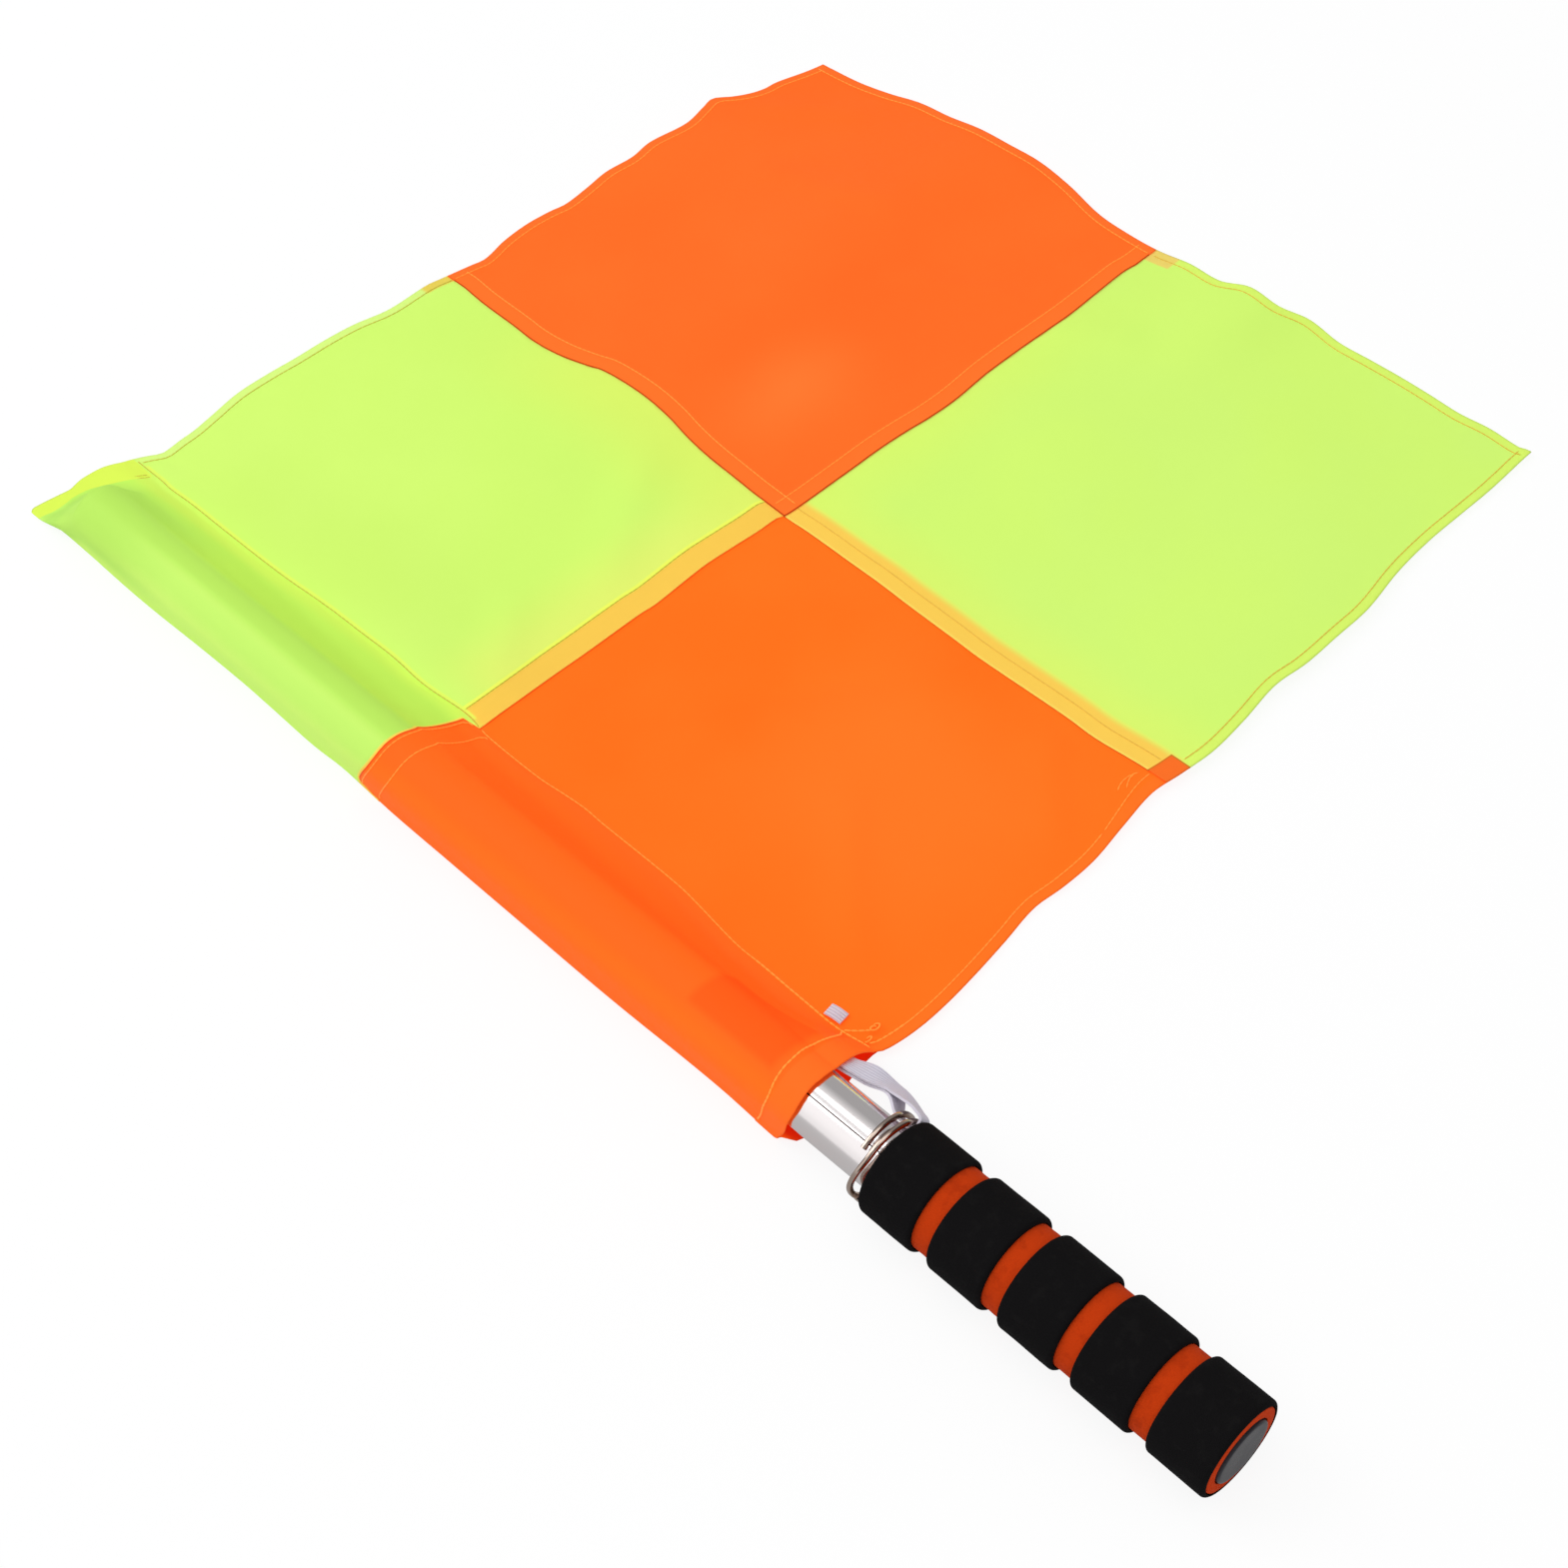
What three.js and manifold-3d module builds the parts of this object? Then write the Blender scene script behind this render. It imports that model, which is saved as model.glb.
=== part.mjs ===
// Linesman flag lying on a level surface: a steel pole with a ribbed foam grip, and a flag of four
// sewn cloth quarters whose sleeve goes over the pole and is tied to it by an elastic loop and a split ring.
// Millimetres, +Z up. The pole runs along +Y from the grip's butt to the tip, and the cloth lies towards +X.
import * as THREE from 'three';
import { mergeVertices } from 'three/addons/utils/BufferGeometryUtils.js';
import Module from 'manifold-3d';

const wasm = await Module();
wasm.setup();

// Clearances
const CLEARANCE = 0.3;
const OVERRUN = 6;

// Foam grip
const GRIP_DIAMETER = 30;
const GRIP_LENGTH = 117;
const CORE_DIAMETER = 26.6;
const BAND_COUNT = 5;
const BAND_LENGTH = 18.6;
const BAND_ROUNDING = 1.1;
const BAND_ROUNDING_STEPS = 2;
const GRIP_SIDES = 36;

// Steel pole, rolled from strip, with its open seam
const POLE_DIAMETER = 19.7;
const POLE_WALL = 0.6;
const POLE_RECESS = 1.6;
const POLE_SEAM_ANGLE = 111.7;
const POLE_SEAM_GAP = 0.35;
const POLE_SIDES = 44;

// Plugs in the pole's two ends
const PLUG_FLANGE_DIAMETER = 19.4;
const PLUG_PROUD = 0.8;
const PLUG_EDGE = 0.5;
const PLUG_STEM_LENGTH = 14;
const PLUG_STEM_WALL = 1.8;
const PLUG_RIB_COUNT = 3;
const PLUG_RIB_HEIGHT = 0.45;
const PLUG_RIB_LENGTH = 1.2;
const TIP_FLANGE_LENGTH = 1.2;
const TIP_DOME = 3;
const TIP_DOME_STEPS = 4;
const PLUG_SIDES = 28;

// Split ring: two turns of flat wire round the pole
const RING_DIAMETER = 27.4;
const RING_WIRE_DEPTH = 1.7;
const RING_WIRE_WIDTH = 1.5;
const RING_WIRE_ROUNDING = 0.35;
const RING_STANDOFF = 2.4;
const RING_TURN_GAP = 0.5;
const RING_SPREAD = 1.3;
const RING_SPREAD_ANGLE = 35;
const RING_JOG_ANGLE = 70;
const RING_JOG_PLACE = 190;
const RING_STEPS_PER_TURN = 24;

// Flat elastic loop from the sleeve's mouth round the ring
const ELASTIC_WIDTH = 6.8;
const ELASTIC_THICKNESS = 0.9;
const ELASTIC_POLE_CLEARANCE = 0.45;
const ELASTIC_TAIL = 16;
const ELASTIC_STEPS = 4;

// Where the elastic's two layers lie: the stand-off from the sleeve's wrap, the angle round the pole and the
// angle that they look towards
const ELASTIC_RING_ANGLE = 28;
const ELASTIC_TAIL_STANDOFF = 5;
const ELASTIC_TAIL_ANGLE = -14;
const ELASTIC_TAIL_FACING = 46;
const ELASTIC_EXIT_STANDOFF = 2.3;
const ELASTIC_EXIT_ANGLE = 14;
const ELASTIC_EXIT_FACING = 58;
const ELASTIC_ARCH_STANDOFF = 5.3;
const ELASTIC_ARCH_ANGLE = 20;
const ELASTIC_ARCH_FACING = 68;
const ELASTIC_SPLIT_STANDOFF = 6.2;
const ELASTIC_SPLIT_ANGLE = 20;
const ELASTIC_SPLIT_FACING = 55;
const ELASTIC_SPLIT_SHARE = 0.28;

// Flag cloth
const CLOTH = 0.8;
const MOUTH_PLACE = 150;
const SLEEVE_SPARE = 26.4;
const STITCH_OFFSET = 29;
const HOIST_WIDTH = 133;
const FLY_WIDTH = 187;
const BUTT_LENGTH = 174;
const TIP_LENGTH = 184;
const SEAM_GAP = 0.3;
const PANEL_STEPS = 14;

// How far the far end of each cross edge stands from square
const BUTT_SKEW = 7.5;
const CROSS_SKEW = -5;
const TIP_SKEW = -18.6;

// Ripples of the edges and seams: [place share, height share] pairs of the ripple's height
const TIP_RIPPLE = 12;
const TIP_RIPPLE_SHARES = [[0, 0], [0.09, 0.2], [0.16, 0.5], [0.25, 0.55], [0.36, 0.33], [0.44, 0.2],
  [0.5, 0.25], [0.57, 0.45], [0.66, 0.7], [0.76, 0.9], [0.8, 0.8], [0.857, 1], [0.89, 0.6], [0.93, 0.3],
  [1, 0]];
const FLY_RIPPLE = 10;
const FLY_RIPPLE_SHARES = [[0, 0], [0.15, 0.17], [0.24, 0.2], [0.285, 0.5], [0.32, 0.35], [0.365, 0.5],
  [0.4, 0.06], [0.5, -0.1], [0.57, 0.06], [0.63, 0.6], [0.68, 0.97], [0.76, 1], [0.81, 0.8], [0.86, 0.68],
  [0.9, 0.33], [0.94, 0.08], [1, 0]];
const BUTT_RIPPLE = 2.2;
const BUTT_RIPPLE_SHARES = [[0, 0], [0.06, -1], [0.12, -0.7], [0.21, 0.5], [0.29, -0.5], [0.39, 1],
  [0.5, -0.7], [0.57, 0.2], [0.68, -1], [0.82, 0.3], [0.95, -0.5], [1, 0]];
const MID_RIPPLE = 8;
const MID_RIPPLE_SHARES = [[0, 0], [0.1, -0.3], [0.3, -0.6], [0.48, 0], [0.55, -0.1], [0.63, 0.4], [0.7, 1],
  [0.77, 0.75], [0.83, 0], [0.92, 0.1], [1, 0.6]];

// Heights of the cloth over the floor
const STITCH_LIFT = 8;
const STITCH_LIFT_SHARES = [[0, 0.15], [0.12, 0.45], [0.5, 0.8], [0.9, 1], [1, 0.35]];
const STITCH_LIFT_REACH = 30;
const SWELL_HEIGHT = 9;
const SWELLS = [
  { across: 0.8, along: 0.74, acrossReach: 0.45, alongReach: 0.1, heightShare: 1 },
  { across: 0.3, along: 0.93, acrossReach: 0.2, alongReach: 0.12, heightShare: 0.5 },
  { across: 0.72, along: 0.98, acrossReach: 0.12, alongReach: 0.1, heightShare: 0.6 },
  { across: 0.35, along: 0.25, acrossReach: 0.08, alongReach: 0.2, heightShare: 0.45 },
  { across: 0.98, along: 0.36, acrossReach: 0.12, alongReach: 0.06, heightShare: 0.5 },
  { across: 0.62, along: 0.05, acrossReach: 0.2, alongReach: 0.1, heightShare: 0.35 },
];

// Sleeve
const SLEEVE_SEAM_WIDTH = 3;
const SLEEVE_NOSE_RISE = 0.5;
const SLEEVE_NOSE_GAP = 0.4;
const SLEEVE_FLOOR_MARGIN = 16;
const SLEEVE_FRONT_STEPS = 5;
const SLEEVE_ARC_STEPS = 7;
const SLEEVE_WALL_STEPS = 2;
const SLEEVE_FLOOR_STEPS = 4;
const SLEEVE_DRAPE_ANGLE = 15;
const SLEEVE_MOUTH_TENT = 6;
const SLEEVE_TENT_REACH = 34;
const SLEEVE_FOLD_ROUNDING = 1.4;
const SLEEVE_MOUTH_RISE = 4;
const SLEEVE_MOUTH_REACH = 12;
const SLEEVE_TIP_REACH = 9;
const SLEEVE_TIP_HEIGHT = 2.4;
const SLEEVE_TIP_STEPS = 4;

// Derived sizes
const gripRadius = GRIP_DIAMETER / 2;
const coreRadius = CORE_DIAMETER / 2;
const poleRadius = POLE_DIAMETER / 2;
const poleBore = poleRadius - POLE_WALL;
const axisHeight = gripRadius;
const grooveLength = (GRIP_LENGTH - BAND_COUNT * BAND_LENGTH) / (BAND_COUNT - 1);
const bandPitch = BAND_LENGTH + grooveLength;
const stemRadius = poleBore - CLEARANCE - PLUG_RIB_HEIGHT;
const ringOuter = RING_DIAMETER / 2;
const ringInner = ringOuter - RING_WIRE_DEPTH;
const ringMiddle = (ringOuter + ringInner) / 2;
const turnPitch = RING_WIRE_WIDTH + RING_TURN_GAP;
const wrapRadius = poleRadius + CLEARANCE + CLOTH;
const flagWidth = HOIST_WIDTH + FLY_WIDTH;
const flagLength = BUTT_LENGTH + TIP_LENGTH;
const midShare = HOIST_WIDTH / flagWidth;
const crossShare = BUTT_LENGTH / flagLength;
const poleEnd = MOUTH_PLACE + flagLength - SLEEVE_SPARE;
const poleLength = poleEnd - POLE_RECESS;
const voidEnd = poleEnd + TIP_FLANGE_LENGTH + TIP_DOME + CLEARANCE;
const closingStart = voidEnd + CLOTH;

// Finishes
function finish(color, roughness, metalness = 0) {
  return new THREE.MeshStandardMaterial({ color, roughness, metalness });
}

const steel = finish(0xd9d9d6, 0.12, 1);
const nickel = finish(0xcfc8bf, 0.18, 1);
const blackFoam = finish(0x1c1a19, 0.92);
const orangeFoam = finish(0xc83c0a, 0.85);
const plugPlastic = finish(0x2b2d33, 0.3);
const yellowCloth = finish(0xd2ff6e, 0.6);
const orangeCloth = finish(0xff7028, 0.6);
const whiteElastic = finish(0xf2eff4, 0.75);

const radians = THREE.MathUtils.degToRad;
const smooth = (share) => THREE.MathUtils.smoothstep(share, 0, 1);

// Smooth curve through a table of [place share, height share] pairs
function fromTable(table, share) {
  const next = table.findIndex(([place]) => place >= share);
  if (next === 0) return table[0][1];
  if (next < 0) return table[table.length - 1][1];
  const [startPlace, startHeight] = table[next - 1];
  const [endPlace, endHeight] = table[next];
  const blend = smooth((share - startPlace) / (endPlace - startPlace));
  return startHeight + (endHeight - startHeight) * blend;
}

// Manifold solids and meshes
function toSolid(geometry) {
  const bare = geometry.clone();
  bare.deleteAttribute('normal');
  bare.deleteAttribute('uv');
  const merged = mergeVertices(bare);
  return new wasm.Manifold(new wasm.Mesh({
    numProp: 3,
    vertProperties: new Float32Array(merged.attributes.position.array),
    triVerts: new Uint32Array(merged.index.array),
  }));
}

function toGeometry(solid) {
  const mesh = solid.getMesh();
  const geometry = new THREE.BufferGeometry();
  geometry.setAttribute('position', new THREE.BufferAttribute(new Float32Array(mesh.vertProperties), 3));
  geometry.setIndex(new THREE.BufferAttribute(new Uint32Array(mesh.triVerts), 1));
  geometry.computeVertexNormals();
  return geometry;
}

// A closed body skinned over a row of equal-sided sections, each a closed ring of points
function loft(sections, cap = addCap) {
  const sides = sections[0].length;
  const last = sections.length - 1;
  const positions = sections.flatMap((section) => section.flatMap((point) => [point.x, point.y, point.z]));
  const indices = [];
  const at = (row, side) => row * sides + (side % sides);
  for (let row = 0; row < last; row++) {
    for (let side = 0; side < sides; side++) {
      indices.push(at(row, side), at(row, side + 1), at(row + 1, side + 1));
      indices.push(at(row, side), at(row + 1, side + 1), at(row + 1, side));
    }
  }
  cap(indices, sections[0], 0, true);
  cap(indices, sections[last], at(last, 0), false);
  const geometry = new THREE.BufferGeometry();
  geometry.setAttribute('position', new THREE.Float32BufferAttribute(positions, 3));
  geometry.setIndex(indices);
  return outward(geometry);
}

// Caps a long thin end section rung by rung
function addStripCap(indices, section, first, reversed) {
  const sides = section.length;
  for (let rung = 0; rung + 1 < sides / 2; rung++) {
    const quad = [rung, rung + 1, sides - 2 - rung, sides - 1 - rung].map((side) => first + side);
    if (reversed) quad.reverse();
    indices.push(quad[0], quad[1], quad[2], quad[0], quad[2], quad[3]);
  }
}

// Fills an end section, seen flat in the plane that it spans most
function addCap(indices, section, first, reversed) {
  const origin = section[0];
  const across = section[Math.floor(section.length / 3)].clone().sub(origin).normalize();
  const spare = section[Math.floor((section.length * 2) / 3)].clone().sub(origin);
  const up = spare.sub(across.clone().multiplyScalar(spare.dot(across))).normalize();
  const flat = section.map((point) => {
    const offset = point.clone().sub(origin);
    return new THREE.Vector2(offset.dot(across), offset.dot(up));
  });
  const turned = THREE.ShapeUtils.area(flat) < 0;
  for (const [a, b, c] of THREE.ShapeUtils.triangulateShape(flat, [])) {
    const keep = reversed !== turned;
    indices.push(first + a, first + (keep ? c : b), first + (keep ? b : c));
  }
}

// Turns a closed geometry's faces outwards
function outward(geometry) {
  const index = geometry.index.array;
  const place = geometry.attributes.position;
  const corner = [new THREE.Vector3(), new THREE.Vector3(), new THREE.Vector3()];
  let volume = 0;
  for (let face = 0; face < index.length; face += 3) {
    corner.forEach((point, side) => point.fromBufferAttribute(place, index[face + side]));
    volume += corner[0].dot(corner[1].cross(corner[2]));
  }
  if (volume < 0) {
    for (let face = 0; face < index.length; face += 3) {
      [index[face + 1], index[face + 2]] = [index[face + 2], index[face + 1]];
    }
  }
  geometry.computeVertexNormals();
  return geometry;
}

const group = new THREE.Group();

function addPiece(name, geometry, material) {
  const piece = new THREE.Mesh(geometry, material);
  piece.name = name;
  group.add(piece);
  return piece;
}

// A piece turned about the pole's axis
function addTurned(name, profile, sides, material) {
  const points = profile.map(([radius, place]) => new THREE.Vector2(radius, place));
  addPiece(name, new THREE.LatheGeometry(points, sides), material).position.z = axisHeight;
}

// Foam grip: an orange core with five black bands on it
function buildGrip() {
  const bore = poleRadius + CLEARANCE;
  const core = [[bore, 0], [coreRadius, 0], [coreRadius, GRIP_LENGTH], [bore, GRIP_LENGTH], [bore, 0]];
  addTurned('grip_core', core, GRIP_SIDES, orangeFoam);
  for (let band = 0; band < BAND_COUNT; band++) {
    addTurned(`grip_band_${band + 1}`, bandProfile(band * bandPitch), GRIP_SIDES, blackFoam);
  }
}

// Ring section with two rounded outer corners
function bandProfile(start) {
  const inner = coreRadius + CLEARANCE;
  const end = start + BAND_LENGTH;
  const profile = [[inner, start]];
  const rounding = [];
  for (let step = 0; step <= BAND_ROUNDING_STEPS; step++) {
    const angle = (step / BAND_ROUNDING_STEPS) * (Math.PI / 2);
    const drop = BAND_ROUNDING * (1 - Math.sin(angle));
    rounding.push([gripRadius - drop, BAND_ROUNDING * (1 - Math.cos(angle))]);
  }
  profile.push(...rounding.map(([radius, inset]) => [radius, start + inset]));
  profile.push(...rounding.reverse().map(([radius, inset]) => [radius, end - inset]));
  profile.push([inner, end], [inner, start]);
  return profile;
}

// Rolled steel pole: a C-shaped section with the seam's narrow slit, extruded along the pole
function buildPole() {
  const halfSlit = Math.asin(POLE_SEAM_GAP / 2 / poleRadius);
  const seam = radians(POLE_SEAM_ANGLE);
  const shape = new THREE.Shape();
  shape.absarc(0, 0, poleRadius, seam + halfSlit, seam - halfSlit + 2 * Math.PI, false);
  shape.absarc(0, 0, poleBore, seam - halfSlit + 2 * Math.PI, seam + halfSlit, true);
  const settings = { depth: poleLength, bevelEnabled: false, curveSegments: POLE_SIDES };
  const tube = addPiece('pole_tube', new THREE.ExtrudeGeometry(shape, settings), steel);
  // The extrusion's +Z becomes the pole's +Y, and its +X is turned to -X to keep it right-handed
  const place = new THREE.Matrix4().makeBasis(
    new THREE.Vector3(-1, 0, 0), new THREE.Vector3(0, 0, 1), new THREE.Vector3(0, 1, 0));
  tube.quaternion.setFromRotationMatrix(place);
  tube.position.set(0, POLE_RECESS, axisHeight);
  mirrorAcross(tube.geometry);
}

// Mirrors a geometry in X and keeps its faces outwards, so that the seam's angle counts from +X
function mirrorAcross(geometry) {
  geometry.scale(-1, 1, 1);
  const place = geometry.attributes.position;
  const first = new THREE.Vector3();
  const second = new THREE.Vector3();
  for (let corner = 0; corner < place.count; corner += 3) {
    first.fromBufferAttribute(place, corner + 1);
    second.fromBufferAttribute(place, corner + 2);
    place.setXYZ(corner + 1, second.x, second.y, second.z);
    place.setXYZ(corner + 2, first.x, first.y, first.z);
  }
  geometry.computeVertexNormals();
}

// Ribbed hollow stem that both plugs press into the pole, from its root towards its open end
function stemProfile(root, direction) {
  const end = root + direction * PLUG_STEM_LENGTH;
  const profile = [];
  const pitch = PLUG_STEM_LENGTH / (PLUG_RIB_COUNT + 1);
  for (let rib = 1; rib <= PLUG_RIB_COUNT; rib++) {
    const middle = root + direction * rib * pitch;
    const half = (direction * PLUG_RIB_LENGTH) / 2;
    profile.push([stemRadius, middle - half], [stemRadius + PLUG_RIB_HEIGHT, middle]);
    profile.push([stemRadius, middle + half]);
  }
  const bore = stemRadius - PLUG_STEM_WALL;
  profile.push([stemRadius, end], [bore, end], [bore, root], [0, root]);
  return profile;
}

function buildButtPlug() {
  const flange = PLUG_FLANGE_DIAMETER / 2;
  const root = POLE_RECESS - CLEARANCE;
  const face = -PLUG_PROUD;
  const edge = [[0, face], [flange - PLUG_EDGE, face], [flange, face + PLUG_EDGE]];
  const profile = [...edge, [flange, root], [stemRadius, root], ...stemProfile(root, 1)];
  addTurned('butt_plug', profile, PLUG_SIDES, plugPlastic);
}

function buildTipPlug() {
  const flange = poleRadius;
  const root = poleEnd + CLEARANCE;
  const rim = root + TIP_FLANGE_LENGTH;
  const profile = [];
  for (let step = 0; step <= TIP_DOME_STEPS; step++) {
    const angle = (step / TIP_DOME_STEPS) * (Math.PI / 2);
    const radius = step === 0 ? 0 : flange * Math.sin(angle);
    profile.push([radius, rim + TIP_DOME * Math.cos(angle)]);
  }
  profile.push([flange, root], [stemRadius, root], ...stemProfile(root, -1));
  addTurned('tip_plug', profile.reverse(), PLUG_SIDES, plugPlastic);
}

// Place along the pole of the ring's wire after it has turned by an angle, in radians
function ringPlace(turned) {
  const jog = radians(RING_JOG_ANGLE);
  const level = smooth((turned - (2 * Math.PI - jog)) / jog);
  const towardsElastic = (1 + Math.cos(turned + radians(RING_JOG_PLACE - RING_SPREAD_ANGLE))) / 2;
  const side = level * 2 - 1;
  return GRIP_LENGTH + RING_STANDOFF + turnPitch * level + (RING_SPREAD * (side + 1) * towardsElastic) / 2;
}

// Split ring: one flat wire that goes round twice and steps across once
function buildRing() {
  const end = 4 * Math.PI - radians(RING_JOG_ANGLE);
  const steps = Math.round((end / (2 * Math.PI)) * RING_STEPS_PER_TURN);
  const sections = [];
  for (let step = 0; step <= steps; step++) {
    const turned = (step / steps) * end;
    sections.push(wireSection(turned + radians(RING_JOG_PLACE), ringPlace(turned)));
  }
  addPiece('split_ring', loft(sections), nickel);
  reportRingGap(steps, end);
}

// Flat wire's section with its corners cut, across the ring at an angle
function wireSection(angle, place) {
  const depth = RING_WIRE_DEPTH / 2;
  const width = RING_WIRE_WIDTH / 2;
  const cut = RING_WIRE_ROUNDING;
  const corners = [[depth, width - cut], [depth - cut, width], [cut - depth, width], [-depth, width - cut],
    [-depth, cut - width], [cut - depth, -width], [depth - cut, -width], [depth, cut - width]];
  return corners.map(([outwards, along]) => {
    const radius = ringMiddle + outwards;
    return new THREE.Vector3(radius * Math.cos(angle), place + along, axisHeight + radius * Math.sin(angle));
  });
}

function reportRingGap(steps, end) {
  let least = Infinity;
  for (let step = 0; step <= steps; step++) {
    const turned = (step / steps) * end;
    if (turned + 2 * Math.PI > end) continue;
    least = Math.min(least, ringPlace(turned + 2 * Math.PI) - ringPlace(turned));
  }
  console.log(`least gap between the split ring's turns: ${(least - RING_WIRE_WIDTH).toFixed(2)} mm`);
}

// Places on the lying cloth: across runs from the sleeve's stitch line to the fly edge, and along from the
// butt to the tip
const midSeam = (along) => STITCH_OFFSET + HOIST_WIDTH + MID_RIPPLE * fromTable(MID_RIPPLE_SHARES, along);
const flyEdge = (along) => STITCH_OFFSET + flagWidth + FLY_RIPPLE * fromTable(FLY_RIPPLE_SHARES, along);
const buttEdge = (across) => MOUTH_PLACE + BUTT_SKEW * across
  + BUTT_RIPPLE * fromTable(BUTT_RIPPLE_SHARES, across);
const crossSeam = (across) => MOUTH_PLACE + BUTT_LENGTH + CROSS_SKEW * across;
const tipEdge = (across) => MOUTH_PLACE + flagLength + TIP_SKEW * across
  + TIP_RIPPLE * fromTable(TIP_RIPPLE_SHARES, across);

function clothX(across, along) {
  const hoist = across <= midShare;
  const blend = hoist ? across / midShare : (across - midShare) / (1 - midShare);
  const [start, end] = hoist ? [STITCH_OFFSET, midSeam(along)] : [midSeam(along), flyEdge(along)];
  return start + (end - start) * blend;
}

function clothY(across, along) {
  const butt = along <= crossShare;
  const blend = butt ? along / crossShare : (along - crossShare) / (1 - crossShare);
  const [start, end] = butt ? [buttEdge(across), crossSeam(across)] : [crossSeam(across), tipEdge(across)];
  return start + (end - start) * blend;
}

// Height of the cloth's underside over the floor
function clothHeight(across, along) {
  const fromStitch = (across * flagWidth) / STITCH_LIFT_REACH;
  let height = stitchHeight(along) * Math.exp(-fromStitch * fromStitch);
  for (const swell of SWELLS) {
    const a = (across - swell.across) / swell.acrossReach;
    const b = (along - swell.along) / swell.alongReach;
    const clear = smooth((across * flagWidth) / STITCH_LIFT_REACH);
    height += SWELL_HEIGHT * swell.heightShare * Math.exp(-a * a - b * b) * clear;
  }
  return height;
}

const stitchHeight = (along) => STITCH_LIFT * fromTable(STITCH_LIFT_SHARES, along);

// One quarter's sheet between two shares across and two along, in its lying waves
function sheet(acrossStart, acrossEnd, alongStart, alongEnd, gaps) {
  const sections = [];
  for (let row = 0; row <= PANEL_STEPS; row++) {
    const along = THREE.MathUtils.lerp(alongStart, alongEnd, row / PANEL_STEPS);
    const under = [];
    const over = [];
    for (let column = 0; column <= PANEL_STEPS; column++) {
      const across = THREE.MathUtils.lerp(acrossStart, acrossEnd, column / PANEL_STEPS);
      const trimX = (column === 0 ? gaps.start : 0) - (column === PANEL_STEPS ? gaps.end : 0);
      const trimY = (row === 0 ? gaps.butt : 0) - (row === PANEL_STEPS ? gaps.tip : 0);
      const x = clothX(across, along) + trimX;
      const y = clothY(across, along) + trimY;
      const height = clothHeight(across, along);
      under.push(new THREE.Vector3(x, y, height));
      over.unshift(new THREE.Vector3(x, y, height + CLOTH));
    }
    sections.push([...under, ...over]);
  }
  return loft(sections, addStripCap);
}

// Point where a line from the sleeve's nose meets the wrap round the pole, as an angle from +X
function wrapAngle(nose, radius) {
  const distance = Math.hypot(nose.x, nose.y - axisHeight);
  return Math.atan2(nose.y - axisHeight, nose.x) + Math.acos(radius / distance);
}

// How freely the sleeve's front hangs, from 0 at the mouth, where the elastic props it up, to 1 further in
const frontFree = (along) => smooth((along * flagLength) / SLEEVE_TENT_REACH);

// Section of the sleeve in the X-Z plane: over the pole, down to the floor and back under it to the stitches.
// Inset is zero for the outside of the cloth and the cloth's thickness for its inside.
function sleeveOutline(along, inset) {
  const radius = wrapRadius - inset;
  const inside = inset > 0;
  const seam = SLEEVE_SEAM_WIDTH / 2;
  const noseX = STITCH_OFFSET + (inside ? -seam : seam);
  const noseMiddle = stitchHeight(along) + SLEEVE_NOSE_RISE;
  const noseHalf = inside ? SLEEVE_NOSE_GAP / 2 : CLOTH;
  const top = new THREE.Vector2(noseX, noseMiddle + noseHalf);
  const free = frontFree(along);
  const touch = wrapAngle(top, radius) - radians(SLEEVE_DRAPE_ANGLE) * free;
  const touchPoint = new THREE.Vector2(radius * Math.cos(touch), axisHeight + radius * Math.sin(touch));
  // The tangent at the touch point, down to the nose's height
  const bend = new THREE.Vector2(touchPoint.x + (touchPoint.y - top.y) * Math.tan(touch), top.y);
  const front = new THREE.QuadraticBezierCurve(top, bend, touchPoint);
  const points = [];
  for (let step = 0; step < SLEEVE_FRONT_STEPS; step++) {
    const share = step / SLEEVE_FRONT_STEPS;
    const point = front.getPoint(share);
    const tent = 4 * share ** 2 * (1 - share ** 2);
    point.y += SLEEVE_MOUTH_TENT * (1 - free) * tent;
    points.push(point);
  }
  for (let step = 0; step <= SLEEVE_ARC_STEPS; step++) {
    const angle = THREE.MathUtils.lerp(touch, Math.PI, step / SLEEVE_ARC_STEPS);
    points.push(new THREE.Vector2(radius * Math.cos(angle), axisHeight + radius * Math.sin(angle)));
  }
  const foldTop = inset + SLEEVE_FOLD_ROUNDING;
  for (let step = 1; step <= SLEEVE_WALL_STEPS; step++) {
    const height = THREE.MathUtils.lerp(axisHeight, foldTop, step / SLEEVE_WALL_STEPS);
    points.push(new THREE.Vector2(-radius, height));
  }
  const floorEnd = noseX - SLEEVE_FLOOR_MARGIN;
  for (let step = 0; step <= SLEEVE_FLOOR_STEPS; step++) {
    points.push(new THREE.Vector2(
      THREE.MathUtils.lerp(SLEEVE_FOLD_ROUNDING - radius, floorEnd, step / SLEEVE_FLOOR_STEPS), inset));
  }
  points.push(new THREE.Vector2(noseX, noseMiddle - noseHalf));
  return points;
}

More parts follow.
